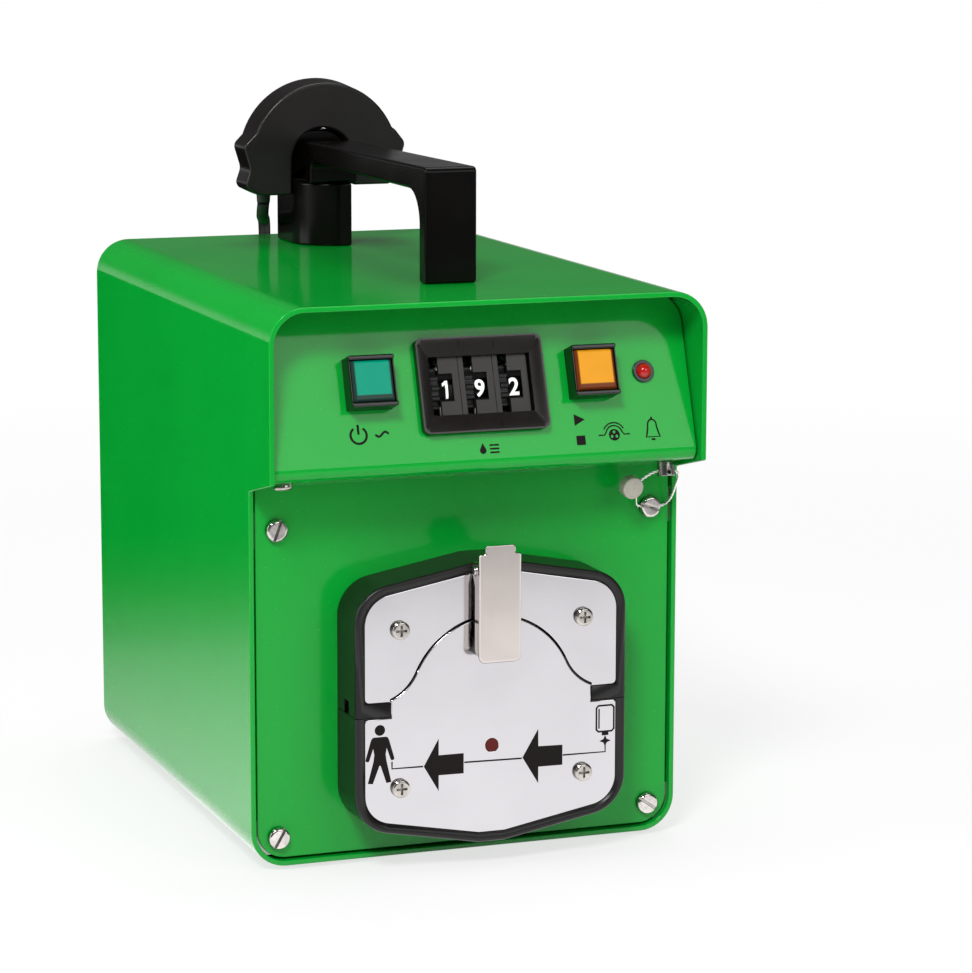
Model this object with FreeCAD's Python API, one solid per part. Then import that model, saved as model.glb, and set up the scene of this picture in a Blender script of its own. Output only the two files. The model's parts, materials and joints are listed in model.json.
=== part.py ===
"""Bench-top infusion pump: a roller pump in a folded sheet-metal case, in millimetres.

The model is drawn with x to the right, y from the hood's front edge to the back, and z up from
the underside of the case. export() moves it so that the origin is in the middle of the footprint,
on the surface that the feet stand on.
"""
import FreeCAD
import Part
import math
import os

# --- Case ---------------------------------------------------------------------------------------
case_width = 200.0
case_height = 250.0
case_depth = 291.0            # hood front edge to rear edge
sheet = 2.3                   # wall of the folded case
case_radius = 16.0            # outside radius of the four long edges
hood_overhang = 32.0          # hood front edge to the lower front edge
hood_drop_front = 75.0        # hood's side edge below the top, at the front
hood_drop_rear = 82.7         # hood's side edge below the top, at the lower front edge
panel_gap = 1.1               # gap all round a plate that sits inside the case
plate_recess = 2.0            # front plate behind the lower front edge
rear_recess = 6.0             # rear panel in front of the rear edge
plate_sheet = 2.0             # front plate, rear panel and control panel
foot_height = 2.0
foot_radius = 9.0
cross_head_radius = 4.1
cross_head_height = 2.6
foot_inset_x = 24.0
foot_inset_y = 26.0

# --- Control panel ------------------------------------------------------------------------------
panel_lean = 18.8             # degrees back from upright
panel_foot_y = 3.7            # a point low on the panel's face
panel_foot_drop = 70.0        # that point below the top of the case
panel_bend = 5.0              # outside radius of the bottom bend
flange_slope = 0.24           # fall of the return flange per unit of depth
flange_drop = 3.4             # flange's underside, carried to y = 0, below that point
panel_middle = -0.9           # middle of the row of controls
button_spacing = 51.0         # both push buttons, either side of the middle
button_rise = 35.8            # up the panel from its foot
button_width = 20.6
button_height = 22.4
button_body = 8.8             # housing in front of the panel
button_lip = 9.8              # top and bottom lips in front of the panel
button_lip_height = 2.0
button_wall = 0.9
button_margin = 0.4           # how far the housing laps over the panel's cut-out
lens_reach = 9.3              # lens cap in front of the panel
lens_bevel = 1.0
button_travel = 3.0
button_fit = 0.3              # gap between the lens cap and its housing
wheel_bezel_x = -0.7
wheel_bezel_rise = 33.1
wheel_bezel_width = 57.8
wheel_bezel_height = 41.8
wheel_bezel_reach = 4.0       # crest of the bezel in front of the panel
wheel_window_reach = 2.2      # the bezel slopes down to here at its window
wheel_window_width = 46.4
wheel_window_height = 25.6
wheel_row_x = -1.9            # middle of the row of three modules
wheel_rise = 32.8             # wheel axes up the panel
wheel_pitch = 15.85
wheel_count = 3
wheel_radius = 15.2           # over the ribs
wheel_axis_depth = 15.4       # wheel axis behind the panel face
digit_drum_radius = 13.9
wheel_pin_radius = 1.5
running_gap = 0.05            # radial gap of every running fit
lamp_x = 75.6
lamp_rise = 35.4
lamp_radius = 4.95
lamp_lens_radius = 3.3

# --- Pump head ----------------------------------------------------------------------------------
head_x = 3.2
head_z = 72.0
head_depth = 25.5
head_half = 63.0              # half width
head_flat = 6.0               # half length of the short flat at top and bottom
head_rise = 63.0              # half height at the flat
head_slope = 0.187            # fall of the top edge towards the corners
head_radius = 17.5
rim_width = 4.0
head_ease = 1.4               # rounded front edge of the black halves
rim_proud = 0.5               # black rim in front of the metal face plates
face_sheet = 1.5
split_z = 69.0                # where the jaw meets the block
jaw_gap = 0.3
jaw_lift = 12.0
tube_slot = 6.2               # height and depth of the tube slot
tube_slot_y = 13.0            # slot axis in front of the front plate
arch_radius = 38.8            # lower edge of the upper face plate
arch_return_radius = 21.8
arch_gap = 0.8
slot_inner_x = 47.0
track_radius = 35.0           # arch that the tube is pressed against
rotor_radius = 21.0
rotor_thick = 14.0
roller_count = 3
roller_radius = 8.0
roller_orbit = 23.5
roller_pin_radius = 2.5
shaft_radius = 4.0
guide_x = 50.0
guide_radius = 3.0
guide_bottom = 40.0
guide_top = 112.0
face_screw_x = 42.6
face_screw_rise = 35.1        # each side of the head's middle
window_z = 52.5
window_radius = 2.9

# --- Latch lever --------------------------------------------------------------------------------
lever_half = 9.8
lever_sheet = 1.5
lever_stand = 10.0            # face of the lever in front of the rim
lever_flange = 6.3
lever_top = 143.5
lever_shoulder = 139.6
lever_bottom = 91.6
lever_neck = 6.9              # half width of the tab above the flanges
lever_pin_z = 131.9
lever_pin_stand = 4.4         # pin axis in front of the rim
lever_pin_radius = 2.0
lever_lug_half = 5.0
lever_lug_radius = 3.7
lever_swing = 90.0
lever_ear_radius = 4.0

# --- Handle and drop sensor ---------------------------------------------------------------------
handle_x = 2.4
handle_half = 12.15
handle_front = 60.0
handle_leg = 8.6
handle_bar_rise = 51.6        # top of the bar above the case
handle_bar_thick = 11.0
handle_bar_end = 235.0
handle_fillet = 15.0
post_left = -14.0
post_right = 10.5
post_front = 224.0
post_back = 268.0
post_rise = 30.5              # top of the post above the case
post_radius = 21.0
sensor_x = 2.4
sensor_front = 240.0
sensor_thick = 19.0
sensor_arm_rise = 24.0        # foot of the left arm above the case
sensor_right_rise = 28.0      # foot of the right arm above the case
sensor_half = 40.6
sensor_radius = 37.4          # front of the arch
sensor_draft = 1.4            # growth of the arch's radius towards the back
sensor_centre_rise = 40.6     # centre of the arch above the case
sensor_bore = 15.6
sensor_bore_x = 0.9
sensor_lift = 30.0
holder_radius = 15.2          # round tongue on the rear post that fills the arch
holder_rise = 14.2            # its flat top above the arch centre, which carries the sensor
holder_inset = 6.0            # behind the sensor's front
cable_radius = 3.0

# --- Rear ---------------------------------------------------------------------------------------
rear_reach = 9.0              # connectors behind the rear edge
inlet_x = -60.0
inlet_z = 46.0
inlet_width = 28.0
inlet_height = 20.0
fuse_x = -18.0
fuse_z = 46.0
fuse_cap_radius = 7.0
socket_x = 52.0
socket_z = 78.0
socket_radius = 8.5
plug_radius = 7.0
coil_centre_x = 22.0
coil_centre_y = 352.0
coil_radius = 34.0

# --- Values that follow -------------------------------------------------------------------------
plate_face = hood_overhang + plate_recess
plate_back = plate_face + plate_sheet
rim_face = plate_face - head_depth
metal_face = rim_face + rim_proud
metal_back = metal_face + face_sheet
slot_y = plate_face - tube_slot_y
lever_face = rim_face - lever_stand
lever_pin_y = rim_face - lever_pin_stand
rear_face = case_depth - rear_recess
rear_inside = rear_face - plate_sheet
inner_x = case_width / 2 - sheet
hood_side_front = case_height - hood_drop_front
hood_side_rear = case_height - hood_drop_rear
panel_foot_z = case_height - panel_foot_drop
flange_line = panel_foot_z - flange_drop
handle_bar_top = case_height + handle_bar_rise
handle_bar_bottom = handle_bar_top - handle_bar_thick
post_top = case_height + post_rise
sensor_bottom = case_height + sensor_arm_rise
sensor_right_bottom = case_height + sensor_right_rise
sensor_centre_z = case_height + sensor_centre_rise
inner_radius = case_radius - sheet
most_forward = lever_face
most_rearward = case_depth + rear_reach
origin_shift = FreeCAD.Vector(0, -(most_forward + most_rearward) / 2, foot_height)

os.makedirs("parts", exist_ok=True)


# --- Shape helpers ------------------------------------------------------------------------------
def vec(x, y, z):
    return FreeCAD.Vector(x, y, z)


X_AXIS = vec(1, 0, 0)
Y_AXIS = vec(0, 1, 0)
Z_AXIS = vec(0, 0, 1)


def box(x0, x1, y0, y1, z0, z1):
    return Part.makeBox(x1 - x0, y1 - y0, z1 - z0, vec(x0, y0, z0))


def rod(start, direction, length, radius):
    return Part.makeCylinder(radius, length, start, direction)


def tube(start, direction, length, outer, inner):
    return rod(start, direction, length, outer).cut(rod(start, direction, length, inner))


def rounded_face(corners, to_space):
    """Flat face through corners (a, b, radius); to_space turns a pair into a point."""
    flat = [vec(a, b, 0) for a, b, _ in corners]
    arcs = []
    for index, (a, b, radius) in enumerate(corners):
        here = flat[index]
        back = (flat[index - 1] - here).normalize()
        ahead = (flat[(index + 1) % len(flat)] - here).normalize()
        if radius == 0:
            arcs.append((here, here, here))
            continue
        half = back.getAngle(ahead) / 2
        run = radius / math.tan(half)
        middle = (back + ahead).normalize()
        depth = radius / math.sin(half) - radius
        arcs.append((here + back * run, here + middle * depth, here + ahead * run))
    edges = []
    for index, (start, middle, end) in enumerate(arcs):
        if start.distanceToPoint(end) > 1e-6:
            points = [to_space(p.x, p.y) for p in (start, middle, end)]
            edges.append(Part.Arc(*points).toShape())
        following = arcs[(index + 1) % len(arcs)][0]
        if end.distanceToPoint(following) > 1e-6:
            line = Part.LineSegment(to_space(end.x, end.y), to_space(following.x, following.y))
            edges.append(line.toShape())
    return Part.Face(Part.Wire(edges))


def front_prism(corners, y0, y1):
    """Solid with a front-view outline of (x, z, radius), from y0 back to y1."""
    face = rounded_face(corners, lambda a, b: vec(a, y0, b))
    return face.extrude(vec(0, y1 - y0, 0))


def side_prism(corners, x0, x1):
    """Solid with a side-view outline of (y, z, radius), from x0 to x1."""
    face = rounded_face(corners, lambda a, b: vec(x0, a, b))
    return face.extrude(vec(x1 - x0, 0, 0))


def plan_prism(corners, z0, z1):
    """Solid with a plan outline of (x, y, radius), from z0 up to z1."""
    face = rounded_face(corners, lambda a, b: vec(a, b, z0))
    return face.extrude(vec(0, 0, z1 - z0))


def rounded_box(x0, x1, y0, y1, z0, z1, radius):
    """Box with its four edges along y rounded."""
    corners = [(x0, z0, radius), (x1, z0, radius), (x1, z1, radius), (x0, z1, radius)]
    return front_prism(corners, y0, y1)


def on_panel(shape):
    """Places a shape drawn with the panel upright at y = 0 and z measured up the panel."""
    placed = shape.copy()
    placed.rotate(vec(0, 0, 0), X_AXIS, -panel_lean)
    placed.translate(vec(0, panel_foot_y, panel_foot_z))
    return placed


def grouped(shapes):
    return Part.makeCompound(shapes)


def pan_screw(tip, outward, head_radius, head_height, shank_radius, shank_length, slot_angle=None):
    """Pan head screw whose head sits on tip; slot_angle turns its slot, and without one it has a cross."""
    head = rod(tip, outward, head_height, head_radius)
    rim = [edge for edge in head.Edges if (edge.CenterOfMass - tip).dot(outward) > head_height * 0.9]
    head = head.makeFillet(head_height * 0.45, rim[:1])
    screw = head.fuse(rod(tip - outward * shank_length, outward, shank_length, shank_radius))
    across = X_AXIS if abs(outward.x) < 0.5 else Y_AXIS
    upward = outward.cross(across)
    floor = tip + outward * (head_height * 0.45)
    width = head_radius * 0.24
    reach = head_radius * 0.6
    bars = [across, upward]
    if slot_angle is not None:
        turn = math.radians(slot_angle)
        reach = head_radius * 1.2
        bars = [across * math.cos(turn) + upward * math.sin(turn)]
    for bar in bars:
        side = outward.cross(bar)
        start = floor - bar * reach - side * (width / 2)
        wire = Part.makePolygon([start, start + bar * (2 * reach),
                                 start + bar * (2 * reach) + side * width,
                                 start + side * width, start])
        screw = screw.cut(Part.Face(wire).extrude(outward * head_height))
    return screw


def export(name, shape):
    moved = shape.copy()
    moved.translate(origin_shift)
    if not moved.isValid():
        raise RuntimeError(name + " is not a valid shape")
    moved.exportStep("parts/" + name + ".step")


# --- Case wrap: one folded tube, open at the front and back, with the overhanging hood ------------
outer_outline = [(-case_width / 2, 0, case_radius), (case_width / 2, 0, case_radius),
                 (case_width / 2, case_height, case_radius), (-case_width / 2, case_height, case_radius)]


def inside_outline(gap):
    """Outline inside the case wall, kept gap away from it."""
    side = inner_x - gap
    low = sheet + gap
    high = case_height - sheet - gap
    radius = inner_radius - gap
    return [(-side, low, radius), (side, low, radius), (side, high, radius), (-side, high, radius)]


case_wrap = front_prism(outer_outline, 0, case_depth)
case_wrap = case_wrap.cut(front_prism(inside_outline(0), -1, case_depth + 1))
under_hood = [(-5, -5, 0), (hood_overhang, -5, 0), (hood_overhang, hood_side_rear, 2.0),
              (-5, hood_side_front + (hood_side_front - hood_side_rear) * 5 / hood_overhang, 0)]
case_wrap = case_wrap.cut(side_prism(under_hood, -case_width, case_width))

handle_screw_holes = [vec(handle_x, handle_front + handle_leg / 2, 0),
                      vec((post_left + post_right) / 2, post_back - 12, 0)]
handle_screw_radius = 2.0
for hole in handle_screw_holes:
    case_wrap = case_wrap.cut(rod(vec(hole.x, hole.y, case_height - 10), Z_AXIS, 20,
                                  handle_screw_radius + 0.2))
foot_places = []
for side in (-1, 1):
    for depth in (hood_overhang + foot_inset_y, case_depth - foot_inset_y):
        foot_places.append(vec(side * (case_width / 2 - foot_inset_x), depth, 0))
foot_stem_radius = 3.0
for place in foot_places:
    case_wrap = case_wrap.cut(rod(place - Z_AXIS, Z_AXIS, 6, foot_stem_radius))
export("case_wrap", case_wrap)

# --- Brackets welded inside the case, which the plates screw to ------------------------------------
corner_screw_inset = 10.4     # from the inside of the case
corner_screw_x = inner_x - corner_screw_inset
corner_screw_low = 12.7
corner_screw_drop = 17.8      # upper screws below the hood's side edge
corner_screw_high = hood_side_rear - corner_screw_drop
rear_screw_high = case_height - corner_screw_low
bracket_sheet = 1.6
corner_screw_radius = 2.5
bracket_reach = inner_x - corner_screw_x + 5.5
slotted_head_radius = 4.9
slotted_head_height = 3.2
seal_wire_radius = 0.5
seal_wire_height = 0.85       # wire hole in front of the screw's seat


def corner_bracket(side, z, face, inward):
    """L bracket against the side wall; face is the plate side, inward its direction (+1 or -1)."""
    wall = side * inner_x
    tab = box(min(wall, wall - side * bracket_reach), max(wall, wall - side * bracket_reach),
              min(face, face + inward * bracket_sheet), max(face, face + inward * bracket_sheet),
              z - 8, z + 8)
    leg = box(min(wall, wall - side * bracket_sheet), max(wall, wall - side * bracket_sheet),
              min(face, face + inward * 14), max(face, face + inward * 14), z - 8, z + 8)
    hole = rod(vec(side * corner_screw_x, face - 20, z), Y_AXIS, 40, corner_screw_radius)
    return tab.fuse(leg).cut(hole).common(front_prism(inside_outline(0), 0, case_depth))


front_brackets = []
rear_brackets = []
for side in (-1, 1):
    for z in (corner_screw_low, corner_screw_high):
        front_brackets.append(corner_bracket(side, z, plate_back, 1))
    for z in (corner_screw_low, rear_screw_high):
        rear_brackets.append(corner_bracket(side, z, rear_inside, -1))

# --- Front plate ----------------------------------------------------------------------------------
front_plate_top = hood_side_rear + 4.0
plate_low = sheet + panel_gap
plate_side = inner_x - panel_gap
plate_radius = inner_radius - panel_gap
front_plate = front_prism([(-plate_side, plate_low, plate_radius), (plate_side, plate_low, plate_radius),
                           (plate_side, front_plate_top, 0), (-plate_side, front_plate_top, 0)],
                          plate_face, plate_back)
shaft_clearance = 9.0
front_plate = front_plate.cut(rod(vec(head_x, plate_face - 1, head_z), Y_AXIS, 10, shaft_clearance))
for side in (-1, 1):
    for z in (corner_screw_low, corner_screw_high):
        front_plate = front_plate.cut(rod(vec(side * corner_screw_x, plate_face - 1, z), Y_AXIS, 10,
                                          corner_screw_radius + 0.2))
head_bolt_x = 30.0
head_bolt_low = 24.0
head_bolt_high = 57.0
head_bolt_radius = 2.0
head_bolt_places = [(head_x + side * head_bolt_x, z) for side in (-1, 1)
                    for z in (head_bolt_low, head_bolt_high)]
for x, z in head_bolt_places:
    front_plate = front_plate.cut(rod(vec(x, plate_face - 1, z), Y_AXIS, 10, head_bolt_radius + 0.2))
export("front_plate", front_plate)

corner_shank = 7.0
plate_screws = []
for side, z, slot_angle in ((-1, corner_screw_low, 60), (-1, corner_screw_high, 70),
                            (1, corner_screw_low, -35), (1, corner_screw_high, -20)):
    plate_screws.append(pan_screw(vec(side * corner_screw_x, plate_face, z), vec(0, -1, 0), slotted_head_radius,
                                  slotted_head_height, corner_screw_radius, corner_shank, slot_angle))
# The upper right one is drilled across for the sealing wire.
wire_hole = vec(corner_screw_x - 10, plate_face - seal_wire_height, corner_screw_high)
plate_screws[-1] = plate_screws[-1].cut(rod(wire_hole, X_AXIS, 20, seal_wire_radius + 0.15))

# --- Control panel: leaning face, bottom bend and return flange in one sheet ------------------------
lean = math.radians(panel_lean)


def panel_y(z, inset):
    """Depth of the panel's face at height z, moved back through the sheet by inset."""
    return panel_foot_y + inset / math.cos(lean) + math.tan(lean) * (z - panel_foot_z)


def flange_z(y, inset):
    """Height of the flange's underside at depth y, moved up through the sheet by inset."""
    return flange_line - flange_slope * y + inset * math.sqrt(1 + flange_slope ** 2)


def bend_corner(inset):
    """Where the panel's face line and the flange's line cross."""
    y = 0.0
    for _ in range(30):
        y = panel_y(flange_z(y, inset), inset)
    return y, flange_z(y, inset)


flange_end = plate_face - 0.2
panel_head = case_height + 10
outer_corner = bend_corner(0)
inner_corner = bend_corner(plate_sheet)
panel_profile = [(panel_y(panel_head, 0), panel_head, 0), (outer_corner[0], outer_corner[1], panel_bend),
                 (flange_end, flange_z(flange_end, 0), 0),
                 (flange_end, flange_z(flange_end, plate_sheet), 0),
                 (inner_corner[0], inner_corner[1], panel_bend - plate_sheet),
                 (panel_y(panel_head, plate_sheet), panel_head, 0)]
control_panel = side_prism(panel_profile, -case_width, case_width)
control_panel = control_panel.common(front_prism(inside_outline(0.7), -50, case_depth))

button_cut_width = button_width - 2 * button_margin
button_cut_height = button_height - 2 * button_margin
button_places = [panel_middle - button_spacing, panel_middle + button_spacing]


def panel_window(x, rise, width, height):
    return on_panel(box(x - width / 2, x + width / 2, -10, 10, rise - height / 2, rise + height / 2))


for x in button_places:
    control_panel = control_panel.cut(panel_window(x, button_rise, button_cut_width, button_cut_height))
wheel_cut_width = wheel_bezel_width - 2 * 3.0
wheel_cut_height = wheel_bezel_height - 2 * 3.0
control_panel = control_panel.cut(panel_window(wheel_bezel_x, wheel_bezel_rise, wheel_cut_width,
                                               wheel_cut_height))
lamp_hole = lamp_radius - 1.0
control_panel = control_panel.cut(on_panel(rod(vec(lamp_x, -10, lamp_rise), Y_AXIS, 20, lamp_hole)))

flange_screw_inset = 9.2      # from the inside of the case
flange_screw_x = inner_x - flange_screw_inset
flange_screw_y = 19.0
flange_screw_radius = 2.0
flange_up = vec(0, flange_slope, 1).normalize()
flange_screw_places = []
for side in (-1, 1):
    place = vec(side * flange_screw_x, flange_screw_y, flange_z(flange_screw_y, 0))
    flange_screw_places.append(place)
    control_panel = control_panel.cut(rod(place - flange_up * 5, flange_up, 15, flange_screw_radius + 0.2))
export("control_panel", control_panel)

# Clips welded to the case sides above the flange take its two screws.
panel_clips = []
for side, place in zip((-1, 1), flange_screw_places):
    seat = place + flange_up * plate_sheet
    clip = side_prism([(seat.y - 7, flange_z(seat.y - 7, plate_sheet), 0),
                       (seat.y + 7, flange_z(seat.y + 7, plate_sheet), 0),
                       (seat.y + 7, flange_z(seat.y + 7, plate_sheet + bracket_sheet), 0),
                       (seat.y - 7, flange_z(seat.y - 7, plate_sheet + bracket_sheet), 0)],
                      min(side * inner_x, side * (inner_x - 16)), max(side * inner_x, side * (inner_x - 16)))
    leg = side_prism([(seat.y - 7, flange_z(seat.y - 7, plate_sheet), 0),
                      (seat.y + 7, flange_z(seat.y + 7, plate_sheet), 0),
                      (seat.y + 7, flange_z(seat.y + 7, plate_sheet + 12), 0),
                      (seat.y - 7, flange_z(seat.y - 7, plate_sheet + 12), 0)],
                     min(side * inner_x, side * (inner_x - bracket_sheet)),
                     max(side * inner_x, side * (inner_x - bracket_sheet)))
    panel_clips.append(clip.fuse(leg).cut(rod(place, flange_up, 20, flange_screw_radius)))
export("case_brackets", grouped(front_brackets + rear_brackets + panel_clips))

flange_down = flange_up * -1
flange_screw = pan_screw(flange_screw_places[0], flange_down, cross_head_radius, cross_head_height,
                         flange_screw_radius, 8)
cross_screws = [flange_screw]

# Sealing screw: a tall head drilled both ways, on the other side of the flange.
seal_head_radius = 3.9
seal_head_height = 6.5
seal_place = flange_screw_places[1]
seal_screw = rod(seal_place, flange_down, seal_head_height, seal_head_radius)
seal_screw = seal_screw.fuse(rod(seal_place, flange_up, 8, flange_screw_radius))
seal_hole = seal_place + flange_down * (seal_head_height * 0.6)
for direction in (X_AXIS, Y_AXIS):
    seal_screw = seal_screw.cut(rod(seal_hole - direction * 10, direction, 20, 0.9))
export("sealing_screw", seal_screw)

# --- Push buttons ---------------------------------------------------------------------------------
button_tail = 22.0
lens_width = button_width - 2 * button_wall - 2 * button_fit
lens_height = button_height - 2 * button_lip_height - 2 * button_fit
switch_body_depth = 14.0


def button_housing(x):
    """Frame with raised lips at top and bottom, sleeve behind the panel, contact block and tags."""
    half_w = button_width / 2
    half_h = button_height / 2
    frame = box(x - half_w, x + half_w, -button_body, 0, button_rise - half_h, button_rise + half_h)
    for edge in (-1, 1):
        low = button_rise + edge * half_h - (button_lip_height if edge > 0 else 0)
        frame = frame.fuse(box(x - half_w, x + half_w, -button_lip, -button_body, low,
                               low + button_lip_height))
    sleeve = box(x - button_cut_width / 2 + 0.1, x + button_cut_width / 2 - 0.1, 0, button_tail,
                 button_rise - button_cut_height / 2 + 0.1, button_rise + button_cut_height / 2 - 0.1)
    well = box(x - lens_width / 2 - button_fit, x + lens_width / 2 + button_fit, -20, button_tail - 2,
               button_rise - lens_height / 2 - button_fit, button_rise + lens_height / 2 + button_fit)
    body = frame.fuse(sleeve).cut(well)
    block = button_cut_width / 2 - 1
    body = body.fuse(box(x - block, x + block, button_tail, button_tail + switch_body_depth,
                         button_rise - block, button_rise + block))
    for column in (-5, 5):
        for row in (-5, 5):
            body = body.fuse(box(x + column - 0.4, x + column + 0.4, button_tail + switch_body_depth,
                                 button_tail + switch_body_depth + 6, button_rise + row - 1.4,
                                 button_rise + row + 1.4))
    return on_panel(body.removeSplitter())


def button_cap(x):
    """Lens cap: a square block with bevelled front edges."""
    cap = box(x - lens_width / 2, x + lens_width / 2, -lens_reach, 4,
              button_rise - lens_height / 2, button_rise + lens_height / 2)
    front = [edge for edge in cap.Edges if abs(edge.CenterOfMass.y + lens_reach) < 0.01]
    cap = cap.makeChamfer(lens_bevel, front)
    stem = rod(vec(x, 4, button_rise), Y_AXIS, button_tail - 2 - 4 - button_travel - 1, 3.0)
    return on_panel(cap.fuse(stem))


for name, x in zip(("mains", "start"), button_places):
    export(name + "_button_housing", button_housing(x))
    export(name + "_button_cap", button_cap(x))

# --- Thumbwheel switch ------------------------------------------------------------------------------
module_depth = 34.0
module_front = 0.3            # face of each module behind the panel's face
module_wall = 1.0
module_half = wheel_pitch / 2 - 0.05
module_high = 13.2            # half height
rim_offset = -3.35            # middle of the ribbed rim from the module's middle
rim_thick = 3.4
drum_end = 4.95               # right end of the digit drum from the module's middle
digit_window_end = 4.8
digit_window_half = 6.05
wheel_gap = 0.35
rib_count = 20
rib_radius = 1.25
bezel_radius = 3.0
bezel_crest = 0.8             # width of the bezel's flat crest
bezel_sleeve_depth = 8.0
row_gap = 0.1


def bezel_outline(half_wide, half_high, radius, depth):
    """Rounded rectangle about the bezel's middle, at one depth."""
    low = wheel_bezel_rise - half_high
    high = wheel_bezel_rise + half_high
    left = wheel_bezel_x - half_wide
    right = wheel_bezel_x + half_wide
    corners = [(left, low, radius), (right, low, radius), (right, high, radius), (left, high, radius)]
    return rounded_face(corners, lambda a, b: vec(a, depth, b))


def bezel_box(half_wide, half_high, y0, y1):
    """Box about the bezel's middle."""
    return box(wheel_bezel_x - half_wide, wheel_bezel_x + half_wide, y0, y1,
               wheel_bezel_rise - half_high, wheel_bezel_rise + half_high)


half_w = wheel_bezel_width / 2
half_h = wheel_bezel_height / 2
bezel = bezel_outline(half_w, half_h, bezel_radius, -wheel_bezel_reach).extrude(vec(0, wheel_bezel_reach, 0))
crest = bezel_outline(half_w - bezel_crest, half_h - bezel_crest, bezel_radius - bezel_crest,
                      -wheel_bezel_reach).OuterWire
window_edge = bezel_outline(wheel_window_width / 2, wheel_window_height / 2, 0.5, -wheel_window_reach).OuterWire
bezel = bezel.cut(Part.makeLoft([crest, window_edge], True, True))
bezel = bezel.fuse(bezel_box(wheel_cut_width / 2 - 0.2, wheel_cut_height / 2 - 0.2, 0, bezel_sleeve_depth))
bezel = bezel.removeSplitter().cut(bezel_box(wheel_window_width / 2, wheel_window_height / 2, -20, 40))
row_half = wheel_pitch * wheel_count / 2 + row_gap
bezel = bezel.cut(box(wheel_row_x - row_half, wheel_row_x + row_half, 0, 40, wheel_rise - module_high - row_gap,
                      wheel_rise + module_high + row_gap))
export("thumbwheel_bezel", on_panel(bezel))


def wheel_axis_start(x):
    return vec(x, wheel_axis_depth, wheel_rise)


def wheel_module(x):
    """Body of one switch module: side walls, a face plate with a digit window, and a back."""
    body = box(x - module_half, x + module_half, module_front, module_depth,
               wheel_rise - module_high, wheel_rise + module_high)
    inside = box(x - module_half + module_wall, x + module_half - module_wall, module_front + module_wall,
                 module_depth - 2, wheel_rise - 40, wheel_rise + 40)
    body = body.cut(inside)
    slot_start = x + rim_offset - rim_thick / 2 - wheel_gap
    digit = box(slot_start, x + digit_window_end, -5, module_front + module_wall + 1,
                wheel_rise - digit_window_half, wheel_rise + digit_window_half)
    slot = box(slot_start, x + rim_offset + rim_thick / 2 + wheel_gap, -5, module_front + module_wall + 1,
               wheel_rise - 20, wheel_rise + 20)
    body = body.cut(digit).cut(slot)
    pin = rod(wheel_axis_start(x - module_half), X_AXIS, 2 * module_half, wheel_pin_radius)
    return body.fuse(pin)


def digit_wheel(x):
    """Digit drum and ribbed rim, turning together on the module's pin."""
    rim_start = x + rim_offset - rim_thick / 2
    drum_start = rim_start + rim_thick
    wheel = rod(wheel_axis_start(drum_start), X_AXIS, x + drum_end - drum_start, digit_drum_radius)
    rib_orbit = wheel_radius - rib_radius
    wheel = wheel.fuse(rod(wheel_axis_start(rim_start), X_AXIS, rim_thick, rib_orbit))
    ribs = []
    for rib in range(rib_count):
        angle = 2 * math.pi * rib / rib_count
        ribs.append(rod(vec(rim_start, wheel_axis_depth + rib_orbit * math.cos(angle),
                            wheel_rise + rib_orbit * math.sin(angle)), X_AXIS, rim_thick, rib_radius))
    wheel = wheel.multiFuse(ribs).removeSplitter()
    bore = rod(wheel_axis_start(x - wheel_pitch), X_AXIS, 2 * wheel_pitch, wheel_pin_radius + running_gap)
    return wheel.cut(bore)


modules = []
for index in range(wheel_count):
    middle = wheel_row_x + (index - (wheel_count - 1) / 2) * wheel_pitch
    modules.append(on_panel(wheel_module(middle)))
    export("digit_wheel_" + str(index + 1), on_panel(digit_wheel(middle)))
export("thumbwheel_modules", grouped(modules))

# --- Alarm lamp -------------------------------------------------------------------------------------
lamp_bezel = rod(vec(lamp_x, -1.2, lamp_rise), Y_AXIS, 1.2, lamp_radius)
lamp_bezel = lamp_bezel.fuse(rod(vec(lamp_x, 0, lamp_rise), Y_AXIS, 8, lamp_hole))
lamp_bezel = lamp_bezel.cut(rod(vec(lamp_x, -5, lamp_rise), Y_AXIS, 20, lamp_lens_radius))
export("alarm_lamp_bezel", on_panel(lamp_bezel))
lamp_lens = rod(vec(lamp_x, -1.0, lamp_rise), Y_AXIS, 11, lamp_lens_radius)
lamp_dome = Part.makeSphere(lamp_lens_radius, vec(lamp_x, -1.0, lamp_rise))
lamp_dome = lamp_dome.common(box(lamp_x - 9, lamp_x + 9, -9, -1.0, lamp_rise - 9, lamp_rise + 9))
lamp = lamp_lens.fuse(lamp_dome)
for lead in (-1.27, 1.27):
    lamp = lamp.fuse(rod(vec(lamp_x + lead, 9.5, lamp_rise), Y_AXIS, 16, 0.4))
export("alarm_lamp", on_panel(lamp))


# --- Pump head outlines -------------------------------------------------------------------------------
def head_outline(inset, z_low, z_high):
    """Eight-sided head outline moved in by inset, cut off at z_low or z_high when these are given."""
    half = head_half - inset
    rise = head_rise - inset
    radius = max(head_radius - inset, 1.0)
    corner = rise - (half - head_flat) * head_slope
    full = [(-half, -corner, radius), (-head_flat, -rise, 0), (head_flat, -rise, 0), (half, -corner, radius),
            (half, corner, radius), (head_flat, rise, 0), (-head_flat, rise, 0), (-half, corner, radius)]
    solid = front_prism([(head_x + a, head_z + b, r) for a, b, r in full], rim_face, plate_face)
    if inset == 0:
        solid = solid.makeFillet(head_ease, [edge for edge in solid.Edges
                                             if abs(edge.BoundBox.YMax - rim_face) < 0.01])
    return solid.common(box(-200, 200, -200, 200, z_low, z_high))


cavity_front = metal_back
cavity_back = plate_face - 3.5


def head_slab(inset, y0, y1, z_low, z_high):
    """Part of the head outline between two depths."""
    return head_outline(inset, z_low, z_high).common(box(-200, 200, y0, y1, -200, 400))


slot_low = split_z
slot_high = split_z + tube_slot
jaw_bottom = split_z + jaw_gap


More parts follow.
